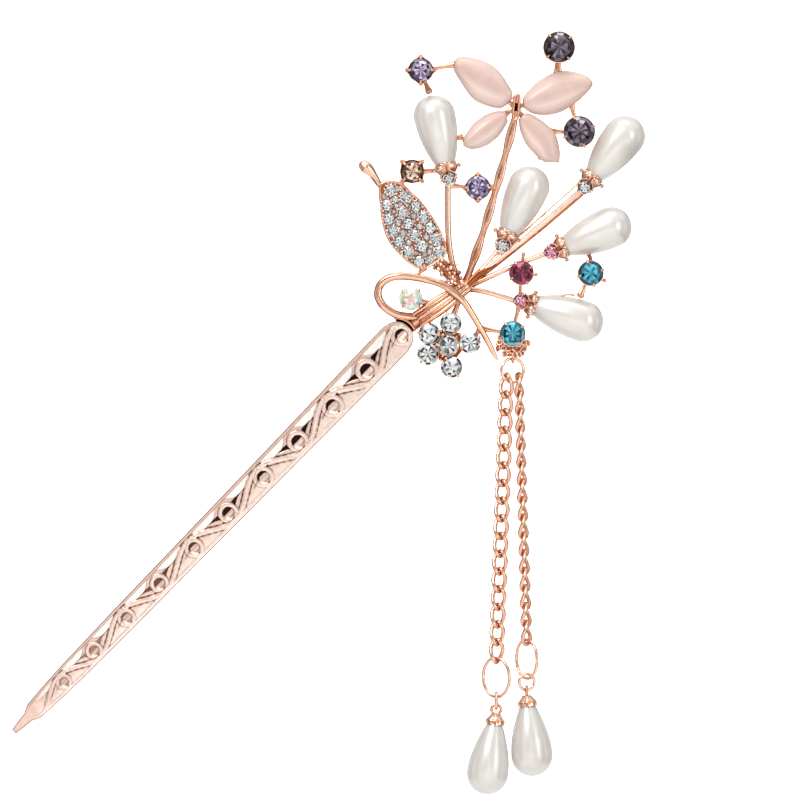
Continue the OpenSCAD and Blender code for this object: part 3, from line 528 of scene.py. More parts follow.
GOLD = gold("rose_gold", (234, 178, 146), (255, 234, 220), (146, 78, 44))
# The stick's rose gold is a paler, less metallic copy: painted light for the brighter light on the stick's
# broad flat face.
LIT_STICK_GOLD = gold("stick_rose_gold_lit", (230, 201, 188), (255, 250, 245), (124, 84, 66), (0.26, 0.34),
                  0.000002, 0.8)
BACK_GOLD = gold("back_rose_gold", (232, 196, 178), (250, 230, 218), (150, 100, 74), (0.26, 0.36), 0.00001)
CRYSTAL, SHELL = crystal(), shell()
# The drop pearls get a slightly darker copy of the nacre as painted shade.
NACRE, SHADED_DROP_NACRE = nacre("pearl_nacre", 0.99), nacre("drop_nacre_shaded", 0.965)

# Facet colours, from painted shade to painted light
TINTS = {
    "clear": [(18, 20, 24), (192, 201, 201), (255, 255, 255)],
    "violet": [(36, 24, 62), (116, 98, 146), (232, 218, 240)],
    "dark": [(6, 2, 6), (44, 33, 46), (142, 128, 148)],
    "brown": [(72, 32, 14), (166, 110, 76), (252, 228, 208)],
    "magenta": [(22, 0, 4), (92, 2, 30), (190, 52, 104)],
    "pink": [(112, 22, 52), (212, 96, 134), (255, 214, 226)],
    "aqua": [(0, 38, 58), (0, 122, 152), (92, 208, 230)],
    "red_star": [(130, 44, 40), (220, 118, 104), (250, 204, 190)],
    "sea_green": [(66, 130, 130), (156, 218, 214), (240, 254, 248)],
    "pale_green": [(112, 140, 100), (206, 228, 190), (252, 255, 236)],
    "cream": [(128, 116, 110), (214, 200, 190), (252, 246, 236)],
}


def shade_of(tint, value):
    p = np.array([lin(*c)[:3] for c in TINTS[tint]])
    v = min(max(value, 0.0), 1.0) * 2
    return (mix(p[0], p[1], v) if v < 1 else mix(p[1], p[2], v - 1)).tolist()


def aurora_tint(way):
    """Pale green above left, sea green to the right, cream below, a red star in the middle."""
    angle = math.degrees(math.atan2(way[1], way[0]))
    star = 0.36 + 0.2 * math.cos(math.radians(5 * (angle - 90)))
    if math.hypot(way[0], way[1]) / (AURORA_D / 2) < star:
        return "red_star"
    if -60 < angle < 50:
        return "sea_green"
    return "pale_green" if angle >= 50 or angle < -165 else "cream"


# Half the turn of a ray, the rings of a stone, and its facets' painted reflection tones with dark rays and
# with bright rays
RAY = 8.5
STONE_RINGS = [(0.32, 0.42), (0.58, 0.42), (0.8, 0.25), (1, 0.08), (1, 0)]
RAY_TONES = [(0.12, 0.05, 0.2, 0.9, 0.3), (0.98, 1.0, 0.9, 0.15, 0.3)]
TABLE_TONES = [(0.74, 0.94), (0.62, 0.3)]
CROWN_TONES = [((1.0, 0.8), (0.9, 0.3), (0.35, 0.7), (0.3, 0.3)),
               ((0.9, 0.1), (0.12, 0.75), (0.6, 0.15), (0.3, 0.3))]


def brilliant(shape, place, d, tint, turn, seed):
    """A round cut stone: narrow rays between broad facets, on the table, the crown and the pointed back, each
    facet painted a fixed dark or light shade as its reflection.
    """
    r = d / 2
    a = np.radians(turn + (45.0 * np.arange(8)[:, None] + [-RAY, RAY]).ravel())
    n = len(a)
    v = [np.stack([q * r * np.cos(a), q * r * np.sin(a), np.full(n, h * r)], axis=1) for q, h in STONE_RINGS]
    v = np.vstack(v + [[[0, 0, 0.42 * r]], [[0, 0, -0.75 * r]]]) + place
    ray, table, crown = (tones[seed % 2] for tones in (RAY_TONES, TABLE_TONES, CROWN_TONES))
    faces, tones = [], []
    for i in range(n):
        j, narrow, odd = (i + 1) % n, i % 2 == 0, (i // 2) % 2
        faces.append([5 * n, i, j])
        tones.append(ray[0] if narrow else table[odd])
        for k in range(4):
            faces.append([k * n + i, (k + 1) * n + i, (k + 1) * n + j, k * n + j])
            tones.append(ray[k + 1] if narrow else crown[k][odd])
        faces.append([4 * n + i, 5 * n + 1, 4 * n + j])
        tones.append(0.3)
    tones = np.array(tones) + np.random.default_rng(seed).normal(0, 0.24, len(tones))
    if tint == "aurora":
        tints = [aurora_tint(v[f].mean(axis=0) - place) for f in faces]
        colours = [shade_of(t, 0.66 + 0.4 * tone) for t, tone in zip(tints, tones)]
    else:
        colours = [shade_of(tint, t) for t in tones]
    shape.add(v, faces, tint=colours)


# The stick's half width along it, both as shares, and the rings of its relief from its top down
OUTLINE = np.array([[0, 0.15], [0.018, 0.24], [0.037, 0.3], [0.052, 0.54], [0.103, 0.64], [0.155, 0.7],
                    [0.29, 0.77], [0.465, 0.82], [0.65, 0.88], [0.835, 0.95], [0.96, 1], [1, 0.98]])
HEAD_R = STICK_W / 2 * 0.94
MOTIF_START = STICK_LENGTH - HEAD_R
RING_PLACES = GRIP + np.array([43.1, 33.3, 23.4, 13.5, 3.6, -6.4, -16.2, -26.1, -35.6, -44.8, -53.5])
MOTIFS = len(RING_PLACES)
RING_MARKS = np.concatenate([[-RING_PLACES[0] - 9.8], -RING_PLACES, [-RING_PLACES[-1] + 8.4]])
RING_R, HOLE_R, ROPE = 2.5, 1.4, 0.42
RELIEF, FACE = 0.4, 0.65


def stick_half(s):
    half = STICK_W / 2 * np.interp(s / MOTIF_START, OUTLINE[:, 0], OUTLINE[:, 1])
    round_end = np.sqrt(np.maximum(HEAD_R ** 2 - (s - MOTIF_START) ** 2, 0))
    return np.where(s > MOTIF_START, np.minimum(half, round_end), half)


def stick_relief(s, t, half):
    """Height over the sunk field and tone of the stick's face, which paints light and shade: s from the
    point, t toward the rim.
    """
    k = np.interp(-s, RING_MARKS, np.arange(-1, MOTIFS + 1))
    near = np.clip(np.round(k), 0, MOTIFS - 1).astype(int)
    centre = RING_PLACES[near]
    size = stick_half(centre) / (STICK_W / 2)
    t0 = -0.28 * size
    ds, dt = (s - centre) / size, (t - t0) / size
    away, bearing = np.hypot(ds, dt), np.degrees(np.arctan2(dt, ds))
    rim_in, border_in = half - 0.85 * size, -half + 1.0 * size
    odd = near % 2 == 1
    fade = step(4, 16, s)

    field = np.full_like(s, 0.2)
    tone = -0.05 - 0.3 * step(t0 - 0.2, t0 - 1.1, t)
    black = mix(0.3, 1.0, step(12, 78, s))
    # Shallow lenses lie under the rim, pinched out at the rings, painted bright as a highlight with a line of
    # painted shade along their lower edge
    slope = np.abs(np.sin(np.pi * k))
    open_up = np.clip((slope - 0.5) / 0.4, 0, 1) ** 0.6
    floor = mix(rim_in - 0.02, 1.3 * size + t0, open_up)
    scoop = step(floor - 0.05, floor + 0.1, t) * step(rim_in + 0.05, rim_in - 0.05, t) * (open_up > 0)
    sunk = np.sin(np.pi * np.clip((t - floor) / (rim_in - floor + 1e-6), 0, 1))
    field = field - 0.07 * np.minimum(sunk * 4, 1) * scoop
    tone = mix(tone, -0.95, scoop * fade)
    tone = mix(tone, 0.3, bell(t - floor, 0.09) * (open_up > 0.1) * fade)
    # The running scroll passes over even rings and under odd ones, with dark notches of painted shade on its
    # edge
    across = (dt - np.cos(np.pi * k) * (RING_R - 0.25)) / (1 + 0.8 * slope)
    rope = (np.abs(across) < ROPE) * (k > -0.4)
    twist = np.sin(2 * np.pi * (s * 1.1 + t * 1.5) / 0.8)
    ridge = np.sqrt(np.clip(1 - (across / ROPE) ** 2, 0, 1)) * rope
    field = np.maximum(field, 0.17 + (0.11 + 0.02 * twist) * ridge)
    tone = mix(tone, -0.25 + 0.2 * twist, rope * fade)
    seam = bell(np.abs(across) - 0.5, 0.12) * (k > -0.4) * (away > HOLE_R)
    tone = tone + (0.62 + 0.4 * (np.sin(2 * np.pi * s / 1.15) > 0.3)) * seam * fade * step(0.05, 0.3, slope)
    # Rings: a soft pale band of painted highlight with a fine line of painted shade round it
    band = np.sqrt(np.clip(1 - ((2 * away - RING_R - HOLE_R) / (RING_R - HOLE_R)) ** 2, 0, 1))
    in_ring = (away < RING_R) & ~(rope & (away > RING_R - 0.5))
    field = np.where(in_ring, np.maximum(field, 0.2 + 0.12 * band), field)
    tone = mix(tone, -0.3, 0.8 * in_ring)
    tone = tone + 0.55 * bell(away - RING_R, 0.13) * fade * ~rope
    # Dark pointed wedges, recessed and painted black as shade, lie under the channel on both sides of odd
    # rings
    reach = np.abs(ds) - 2.32
    tall = 1.25 * np.clip(1 - reach / 3.0, 0, 1) ** 1.5
    wedge = (reach > 0) & (reach < 3.0) & (dt < 1.34) & (dt > 1.34 - tall) & odd
    field = np.where(wedge, -0.12, field)
    tone = mix(tone, black, wedge * fade)
    # Holes: a black crescent of painted shade above, a scooped floor below painted pale as a highlight; near
    # the point the whole hole is painted darker as shade
    in_hole = away < HOLE_R
    field = np.where(in_hole, -0.02 - 0.3 * step(-1.0, 0.3, dt / HOLE_R), field)
    lower = np.where(odd, 0.12, 0.62 - 0.42 * (ds / HOLE_R) ** 2 - 0.12 * (ds < -0.9))
    tone = np.where(in_hole, np.where(dt > lower, black, -0.12 + 0.3 * step(-0.2, -1.4, dt)), tone)
    tone = np.where(in_hole & (fade < 0.5), 0.35, tone)
    # A brown line sweeps from the crescent of even rings, and hugs odd rings from below
    tail = (np.abs(dt - 0.3 - 0.32 * (ds + 1.4)) < 0.1) & (ds < -1.3) & (ds > -3.4) & ~odd
    tone = mix(tone, 0.55, tail * fade)
    hug = np.abs(away - mix(2.55, 1.72, np.clip((bearing + 165) / 70, 0, 1))) < 0.11
    tone = mix(tone, 0.62, (hug & (bearing > -165) & (bearing < -82) & odd) * fade)
    # Small dark dots under every ring and beyond even ones
    tone = mix(tone, 0.62, step(0.42, 0.26, np.hypot(ds - 0.15, (dt + 1.72) * 1.6)) * fade)
    tone = mix(tone, 0.9, step(0.34, 0.2, np.hypot(ds - 2.5, dt - 1.1)) * fade * ~odd)
    # Fine cross hatching toward the point
    mesh = 0.5 + 0.5 * np.sin(2 * np.pi * (s + t) / 0.7) * np.sin(2 * np.pi * (s - t) / 0.7)
    tip = step(34, 12, s) * (away > HOLE_R) * (away < 9)
    field = field + 0.03 * (mesh - 0.5) * tip
    tone = tone + 0.22 * (mesh - 0.4) * tip
    # The narrow rim above, the broad smooth border below, and the plain point
    rim = step(rim_in - 0.04, rim_in + 0.08, t)
    border = step(border_in + 0.08, border_in - 0.04, t)
    field = mix(mix(field, RELIEF, rim), 0.26, border)
    # A line of painted shade runs along the rim's inner edge.
    tone = mix(mix(tone, 0.02, rim), -0.42, border) + 0.3 * bell(t - rim_in, 0.1)
    nib = step(7.0, 4.6, s)
    field, tone = mix(field, RELIEF * 0.8, nib), mix(tone, 0.0, nib)
    # The stick's outer edges are painted darker as shade.
    return field, mix(tone, 0.5, step(0.28, 0.08, half - np.abs(t)))


def make_stick():
    long, wide = 760, 56
    s = np.linspace(0.0, STICK_LENGTH - 0.02, long)
    q = np.sin(np.linspace(-np.pi / 2, np.pi / 2, wide)) * 0.12 + np.linspace(-1, 1, wide) * 0.88
    s, q = np.meshgrid(s, q, indexing="ij")
    half = stick_half(s) * 0.998 + 0.02
    t = q * half
    high, tone = stick_relief(s, t, half)
    side = half - np.abs(t)
    bevel = 0.16 * (1 - np.sqrt(np.clip(1 - (1 - np.clip(side / 0.2, 0, 1)) ** 2, 0, 1)))
    tip_bevel = 0.2 * (1 - np.clip(np.minimum(s, STICK_LENGTH - s) / 0.25, 0, 1))
    back = np.where(side < 0.25, -FACE + 0.14 * (1 - side / 0.25) ** 2, -FACE)
    brushed = 0.1 + 0.1 * np.sin(s * 0.21) * np.cos(t * 0.6)
    flat = (s - GRIP)[..., None] * polar(STICK_ANGLE, 1) + t[..., None] * polar(STICK_ANGLE + 90, 1)
    body = Shape()
    for slot, z, shade in ((0, FACE + high - bevel - tip_bevel, tone), (1, back, brushed)):
        body.add(np.dstack([flat, z]).reshape(-1, 3), grid(long, wide), shade.ravel(), slot)
    edge = wall(long, wide)
    body.f += edge
    body.slot += [0] * len(edge)
    body.piece("stick", "hairpin", ["stick"], [LIT_STICK_GOLD, BACK_GOLD], "rose_gold", sharp=60)


make_stick()

# Stones


def stone(name, place, d, grown, tint, turn, seed):
    """A single stone, a little larger than its solid."""
    shape = Shape()
    brilliant(shape, lift(place, girdle(d)), d + grown, tint, turn, seed)
    shape.piece(name, "hairpin", [name], [CRYSTAL], f"{tint}_crystal", smooth=False)


for i, (name, (_, _, turn, d, _, tint)) in enumerate(STONES.items()):
    stone(name, spot(name), d, 0.1, tint, turn + 11 * i, i + 3)
stone("aurora_stone", AURORA, AURORA_D, 0.5, "aurora", 12, 5)
stone("flower_stone_centre", FLOWER, FLOWER_D, 0.42, "clear", 0, 20)
for i, place in enumerate(PETAL):
    stone(f"flower_petal_{i + 1}", place, FLOWER_D, 0.42, "clear", 17 * (i + 1), 21 + i)
for i, tint in enumerate(("clear", "clear", "pink", "pink", "clear")):
    stone(f"bud_stone_{i + 1}", bud_stone_spot(i), BUD_STONE_D, 0.2, tint, 25 * i, 40 + i)


def leaf_fill():
    """Small stones in the gaps between the main ones, largest gap first."""
    along, across = np.meshgrid(np.arange(0.1, 7.2, 0.04), np.arange(-1.9, 1.9, 0.04), indexing="ij")
    low, high = leaf_edges(along)
    edge = np.minimum(across - low, high - across)
    room = np.minimum(edge, np.minimum(along - 0.05, 7.2 - along)) * LEAF_PITCH - 0.12

    def without(a, b, r):
        return np.minimum(room, np.hypot(along - a, across - b) * LEAF_PITCH - r - 0.06)

    for a, b in leaf_stones():
        room = without(a, b, LEAF_D / 2 + 0.05)
    found = []
    while room.max() > 0.36:
        i, j = np.unravel_index(room.argmax(), room.shape)
        found.append((along[i, j], across[i, j], min(room[i, j], 1.1)))
        room = without(*found[-1])
    return found


FILL = leaf_fill()


def leaf_field():
    field = Shape()
    for i, row in enumerate(leaf_stones()):
        brilliant(field, lift(leaf_spot(*row), LEAF_SURFACE), LEAF_D + 0.1, "clear", 31 * i, 60 + i)
    for i, (a, b, r) in enumerate(FILL):
        brilliant(field, lift(leaf_spot(a, b), LEAF_SURFACE - 0.05), 2 * r, "clear", 47 * i, 160 + i)
    field.piece("leaf_stones", "hairpin", ["leaf_stones"], [CRYSTAL], "clear_crystal", smooth=False)


leaf_field()

# Pearls


def bud_turn(i):
    return rot("z", BUDS[i][2] - 90) @ rot("x", -90)


def drop_turn(side):
    return rot("z", -DROPS[side][1]) @ rot("x", 90)


def pearl(name, body, place, turn, foot, look, full=1.0):
    """A teardrop from its narrow end upward; full below 1 swells its neck."""
    long = PEARL_LEN - PEARL_R
    prof = [(0.05, 0.0)]
    for k in np.linspace(0, 1, 34):
        prof.append((mix(PEARL_NECK, PEARL_R, math.sin(math.pi / 2 * k) ** full), long * k))
    for a in np.radians(np.linspace(4, 89, 24)):
        prof.append((PEARL_R * math.cos(a), long + PEARL_R * math.sin(a)))
    drop = Shape()
    drop.lathe([(r, h + foot) for r, h in prof], place, turn, sides=72)
    drop.piece(name, body, [name], [look], "pearl", sharp=60)


for i in range(5):
    pearl(f"bud_pearl_{i + 1}", "hairpin", lift(bud_base(i)), bud_turn(i), CAP_FLOOR + AIR, NACRE, 0.68)
for side in DROPS:
    name, foot = f"drop_pearl_{side}", DROP_FLOOR + AIR
    pearl(name, f"{side}_drop", drop_foot(side), drop_turn(side), foot, SHADED_DROP_NACRE)

# Chains, rings and drop caps


def curb_link(shape, place, turn, twist):
    n, sides, wire_r, wide = 44, 12, (LINK_WIRE + 0.1) / 2, LINK_W / 2 + 0.06
    a = circle(n)
    fold = np.radians(twist * np.sin(a))
    line = [wide * np.cos(a) * np.cos(fold), LINK_LEN / 2 * np.sin(a), wide * np.cos(a) * np.sin(fold)]
    line = np.stack(line, axis=1)
    t = heading(line, True)
    side = unit(line - t * np.sum(line * t, axis=1)[:, None])
    v = sweep(line, side, np.cross(t, side), wire_r, wire_r, sides)
    # Painted shade darkens each link's ends, where the links hang in one another, and the inner side of its
    # wire.
    tone = 0.45 * np.abs(np.sin(a))[:, None] ** 6 + 0.25 * np.clip(-np.cos(circle(sides)), 0, 1) - 0.3
    shape.add(v @ turn.T + place, grid(n, sides, True, True), tone.ravel())


for name, (_, lean, count, turns, twist) in CHAINS.items():
    chain = Shape()
    for i in range(count):
        turn = rot("z", -lean) @ rot("y", mix(turns[0], turns[1], i / (count - 1)))
        curb_link(chain, chain_link(name, i), turn, twist)
    chain.piece(name, "hairpin", [name], [GOLD], "rose_gold")


def ring_piece(name, body, place, turn, radius, tall=0.0):
    hoop = Shape()
    # The rings are painted paler, as a highlight.
    hoop.ring(place, rot("y", turn), radius, RING_WIRE, tall=tall, tone=-0.4)
    hoop.piece(name, body, [name], [GOLD], "rose_gold")


ring_piece("hanger_ring", "hairpin", lift(HANGER), HANGER_TURN, HANGER_R)
ring_piece("oval_ring_left", "hairpin", OVAL_LEFT, -34, OVAL_W / 2, OVAL_H - OVAL_W)
ring_piece("oval_ring_right", "hairpin", OVAL_RIGHT, -51, OVAL_W / 2, OVAL_H - OVAL_W)
ring_piece("small_ring_left", "left_drop", SMALL_LEFT, 90, SMALL_R)
ring_piece("small_ring_right", "hairpin", SMALL_RIGHT, 20, SMALL_R)


def drop_cap(side):
    name, cap = f"drop_cap_{side}", Shape()
    cap.ring(drop_eye(side), rot("y", DROPS[side][2]), DROP_EYE_R, DROP_WIRE, long=44)
    seat, mouth = PEARL_NECK + 0.15, pearl_radius(DROP_CAP_H - DROP_FLOOR - AIR) + 0.15
    prof = [(0.05, -0.26), (0.8, -0.26), (0.95, -0.1), (1.15, 0.25), (1.4, 0.6), (seat + 0.22, 0.95),
            (seat + 0.3, 1.2), (mouth + 0.14, DROP_CAP_H - 0.12), (mouth + 0.18, DROP_CAP_H),
            (mouth + 0.04, DROP_CAP_H), (seat, DROP_FLOOR), (0.05, DROP_FLOOR)]
    # The tones paint highlights on the cap's rim and shade deep inside it.
    tone = [-0.3, -0.3, 0.1, -0.3, -0.6, -0.4, 0.2, -0.5, -0.7, 0.3, 0.9, 0.9]

    def scallop(a, k):
        wave = np.cos(8 * a)
        return 1 + 0.035 * wave * (2 < k < 9), 0.12 * wave * (6 < k < 10)

    cap.lathe(prof, drop_foot(side), drop_turn(side), sides=64, lobes=scallop, tone=tone)
    cap.piece(name, f"{side}_drop", [name], [GOLD], "rose_gold")


for side in DROPS:
    drop_cap(side)

# The butterfly's wings: upper and lower edge of each, read off the photograph from the body outward
WINGS = {
    "wing_upper_left": ([(511, 91), (500, 74), (490, 65), (478, 60), (462, 57), (455, 61)],
                        [(512, 99), (500, 108), (480, 103), (470, 95), (460, 80), (454, 70)]),
    "wing_upper_right": ([(523, 99), (530, 90), (540, 81), (555, 73), (570, 72), (585, 76), (591, 81)],
                         [(524, 108), (532, 113), (545, 115), (560, 112), (575, 103), (587, 92), (592, 85)]),
    "wing_lower_left": ([(505, 112), (496, 112), (485, 116), (475, 123), (468, 132), (464, 138)],
                        [(507, 122), (501, 132), (495, 139), (485, 146), (472, 149), (464, 146)]),
    "wing_lower_right": ([(524, 114), (531, 115), (545, 124), (555, 135), (559, 150), (559, 162)],
                         [(519, 120), (521, 132), (527, 145), (534, 153), (540, 159), (545, 162)]),
}
WING_LEVEL = 0.7


def wing_sides(name, n, shrink=0.0):
    upper, lower = (smooth_path([px(*p) for p in rows], n) for rows in WINGS[name])
    gap = unit(lower - upper)
    return upper + gap * shrink, lower - gap * shrink


def wing(name):
    long, wide = 46, 30
    upper, lower = wing_sides(name, long)
    u, c = np.linspace(0, 1, long)[:, None], np.linspace(0, 1, wide)[None]
    flat = upper[:, None] * (1 - c)[..., None] + lower[:, None] * c[..., None]
    dome = (1 - (2 * c - 1) ** 4) ** 0.5 * (1 - (2 * u - 1) ** 6) ** 0.5
    crown = (1 - (2 * c - 1) ** 2) * (0.55 + 0.45 * np.sin(np.pi * np.clip(u, 0.05, 0.95)))
    z = WING_LEVEL + 0.25 + (0.45 * dome + 1.35 * crown) * (0.75 if "lower" in name else 1.0)
    # A soft pale band painted on as a highlight, and a darker middle.
    band = 0.5 * bell(c - 0.74, 0.12) * np.sin(np.pi * np.clip(u * 1.05, 0, 1))
    band = band - 0.45 * bell(c - 0.45 - 0.06 * np.sin(3 * u), 0.22)
    streak = 0.04 * np.sin(42 * c + 2 * np.sin(4 * u)) * (2.5 if name == "wing_lower_left" else 1)
    n, quads, shape = long * wide, grid(long, wide), Shape()
    v = np.vstack([np.dstack([flat, level]).reshape(-1, 3) for level in (z, np.full(z.shape, WING_LEVEL))])
    faces = quads + [[k + n for k in f[::-1]] for f in quads] + wall(long, wide)
    shape.add(v, faces, np.concatenate([(band + streak).ravel(), np.zeros(n)]))
    shape.piece(name, "hairpin", [name], [SHELL], "cats_eye_shell", sharp=50)


for name in WINGS:
    wing(name)

# The soldered frame
metal = Shape()
WAIST, FLARE = 0.62, 1.25


def bar(path, z, radii, **look):
    """A tube along flat places, all at one height."""
    metal.tube(raised(path, z), radii, **look)


def tie(a, b, d=1.2, tone=0.0):
    """A short bar with a slim middle and flared ends."""
    t = np.linspace(0, 1, 15)
    swell = WAIST + (FLARE - WAIST) * (2 * np.abs(t - 0.5)) ** 1.8
    bar(mix(a, b, t[:, None]), 0, swell * d / 2, deep=min(1, 0.8 / (FLARE * d)), tone=tone)


def stem_path(way, end, end_way, n=40):
    """A curve that leaves the hub one way and comes in at its end another way."""
    pull = np.linalg.norm(end - HUB) / 3
    lead, trail = HUB + polar(way, pull), end - polar(end_way, pull)
    t = np.linspace(0, 1, n)[:, None]
    s = 1 - t
    return s ** 3 * HUB + 3 * s * s * t * lead + 3 * s * t * t * trail + t ** 3 * end


def claw(place, d, turn, reach=0.88, width=0.2):
    """A prong that rises from the cup's wall and bends over the stone's edge."""
    g, r = girdle(d), d / 2
    rows = [(r + 0.42, -0.9), (r + 0.4, 0.1), (r + 0.3, 0.32), (r * 0.94, 0.46 + 0.04 * r),
            (r * reach, 0.3 + 0.14 * r)]
    n, sides = 14, 10
    path = smooth_path([lift(place + polar(turn, q), g + h) for q, h in rows], n)
    thick = np.interp(np.linspace(0, 1, n), [0, 0.5, 0.8, 1], [1.0, 1.0, 0.9, 0.7]) * width
    side = lift(polar(turn + 90, 1))
    v = sweep(path, side, np.cross(heading(path), side), thick, 0.75 * thick, sides)
    # Painted shade at the prong's foot turns to a painted highlight at its tip.
    metal.add(v, skin(n, sides), np.repeat(np.linspace(0.15, -0.35, n), sides))


def setting(place, d, turn, points=0.0, width=0.2, claws=True, rim=0.8):
    """A cup with a thin rim painted pale as a highlight, an inside painted dark as shade, and four prongs;
    points draws its wall out to corners.
    """
    g, r = girdle(d), d / 2
    prof = [(0.05, -0.5), (r * 0.7, -0.5), (r * 0.86, -0.42), (r + 0.12, 0.2), (r + 0.2 * rim, g * 0.6),
            (r + 0.3 * rim, g - 0.16), (r + 0.36 * rim, g - 0.02), (r + 0.32 * rim, g + 0.08),
            (r + 0.16 * rim, g + 0.1), (r + 0.08, g - 0.1), (r * 0.72, 0.56), (0.05, 0.52)]
    tone = [0.2, 0.2, 0.1, 0.05, 0.0, 0.1, -0.3, -0.4, -0.2, 0.2, 0.6, 0.6]

    def corners(a, k):
        return 1 + points * (2 < k < 9) * np.maximum(np.cos(4 * (a - math.radians(turn))), -0.2) ** 3, 0.0

    metal.lathe(prof, lift(place), np.eye(3), lobes=corners, tone=tone)
    if claws:
        for k in range(4):
            claw(place, d, turn + 90 * k, width=width)


RIB_FOOT, RIB_GAP = STICK_TOP + polar(HUB_ANGLE, 2.6), 0.62 * 1.1


def ribs():
    """The bundle of ribs between the stick and the hub, with dark wires laid in the grooves between them as
    painted shade.
    """
    rows = [(0, 0.4, 1), (0.5, 0.9, 1), (1, 0.4, 0.6), (1.15, 0, 0.4)]
    side = polar(HUB_ANGLE + 90, RIB_GAP)
    for place, tone in zip(range(-2, 3), (-0.2, 0.2, -0.3, 0.2, -0.2)):
        start = RIB_FOOT - polar(HUB_ANGLE, 0.11 * place * place)
        path = smooth_path([lift(mix(start, HUB, q) + side * place * w, z) for q, z, w in rows], 30)
        metal.tube(path, 0.36 + 0.19 * np.sin(np.linspace(0.3, 2.8, 30)), tone=tone, edge=0.4)
        if place < 2:
            metal.tube(path + lift(side / 2, -0.1), 0.2, sides=8, tone=0.95)


def stick_socket():
    """A dark line of painted shade in the gap and a bright roll round the stick's head, and the tongue behind
    it.
    """
    head = STICK_TOP - polar(STICK_ANGLE, HEAD_R)
    for reach, low, high, r, z, tone in ((0.2, -20, 48, 0.3, 0.5, 1.0), (0.6, -26, 52, 0.34, 0.35, -0.1)):
        turns = np.linspace(low, high, 48)
        thin = r * (0.35 + 0.65 * np.sin(np.pi * (turns - low) / (high - low)) ** 0.5)
        line = [head + polar(STICK_ANGLE + a, HEAD_R + reach) for a in turns]
        bar(line, z, thin, deep=1.5, tone=tone)
    tongue = raised([STICK_TOP - polar(STICK_ANGLE, 9), STICK_TOP], -1.32)
    tongue.append(lift(mix(RIB_FOOT, HUB, 0.2), -0.5))
    metal.tube(tongue, 1.5, sides=16, deep=0.35, tone=0.1)


def stem(i, way, end_way, radii=0.55, deep=0.82, edge=0.5):
    """A bud's stem, painted darker as shade where the stems crowd at the hub, with painted shade along its
    sides.
    """
    path = stem_path(way, bud_base(i), end_way)
    bar(path, 0, radii, deep=deep, edge=edge, ring_tone=lambda t: 0.62 - 1.15 * step(0.0, 0.5, t))
    return path


def stems():
    stem(0, 122, 94, np.linspace(0.62, 0.6, 40), 0.7, 0.6)
    stem(2, 26, 18)
    path = stem(3, 4, -8)
    bar(path + polar(80, 0.3), 0.25, 0.22, sides=10, tone=-0.4)
    stem(4, 47, 60)


def blade():
    """The second bud's stem: a pale field of painted highlight between a fine upper line and a lower line
    painted dark as shade, darker with painted shade toward the hub.
    """
    n, way = 60, 42
    path = stem_path(way - 1, bud_base(1), way + 1, n)
    wide = np.interp(np.linspace(0, 1, n), [0, 0.45, 1], [0.66, 1.15, 1.36])
    side = wide[:, None] * polar(way + 90, 1)
    bar(path, 0, wide, sides=24, deep=0.4, edge=0.4, ring_tone=lambda t: 0.6 - 1.1 * step(0.1, 0.45, t))
    bar(path + side * 0.72, 0.3, 0.16, sides=8, tone=-0.5)
    bar(path - side * 0.7, 0.32, 0.15, sides=8, tone=0.5)
    bar(path + side * 0.1, 0.38, wide * 0.42, deep=0.3, tone=-0.95)


def butterfly_stem():
    """Two strands side by side with dark gaps of painted shade, darker with painted shade toward the hub."""
    n, turn = 70, 9 * np.pi
    path = stem_path(69, BUTTERFLY - polar(BUTTERFLY_LEAN, BUTTERFLY_LONG * 0.4), 76, n)
    waves = np.cos(np.linspace(0, turn, n))
    for s in (-1, 1):
        strand = [lift(p + polar(-15, s * (0.34 + 0.14 * w)), 0.1 * s * w) for p, w in zip(path, waves)]
        metal.tube(strand, 0.46, sides=12, edge=0.35, ring_tone=lambda t: 0.5 - 0.95 * step(0.0, 0.4, t))
    bar(path, 0.16, 0.42, sides=10, ring_tone=lambda t: -0.1 + 0.3 * (np.cos(turn * t) > 0.6))


def ribbon():
    rows = smooth_path(RIBBON, 150)
    path = np.column_stack([HUB + rows[:, :2] * RIBBON_REACH, rows[:, 3]])
    # The ribbon is painted pale as a highlight, with painted shade along its two sides.
    metal.tube(path, rows[:, 2] * 0.8, sides=24, deep=0.66, tone=-0.25, edge=0.8)


# Along, across and half width of the leaf's curl
LEAF_CURL = [(6.9, 0.6, 0.8), (7.5, 0.8, 0.82), (8.2, 0.9, 1.0), (8.65, 1.0, 1.32), (9.0, 1.15, 1.58),
             (9.3, 1.28, 1.3)]


def leaf():
    """A tray with a thin rolled rim, painted dark as shade between its stones, with the curl and the foot."""
    edge = np.vstack([LEAF_LEFT, LEAF_RIGHT[::-1], LEAF_LEFT[:1]])
    rim = [leaf_spot(*row) for row in smooth_path(edge, 150)]
    metal.plate(rim[:-1], -0.5, LEAF_SURFACE - 0.06, tone=0.38)
    bar(rim, LEAF_SURFACE - 0.05, 0.26, sides=12, deep=1.3, tone=-0.15, round_ends=False)
    leaf_beads()
    curl = smooth_path(LEAF_CURL, 36)
    bar([leaf_spot(a, b) for a, b, _ in curl], 0.1, curl[:, 2] * 0.8, sides=20, tone=-0.35)
    foot = raised([leaf_spot(0.15, -0.75), leaf_spot(-0.4, -1)], -0.12)
    foot.append(lift(mix(LEAF_FOOT, HUB, 1.05), -0.1))
    metal.tube(foot, [1.2, 1.35, 1.0], sides=16, deep=0.5, tone=0.2)
    tie(leaf_spot(0.12, 0.4), ribbon_spot(10))


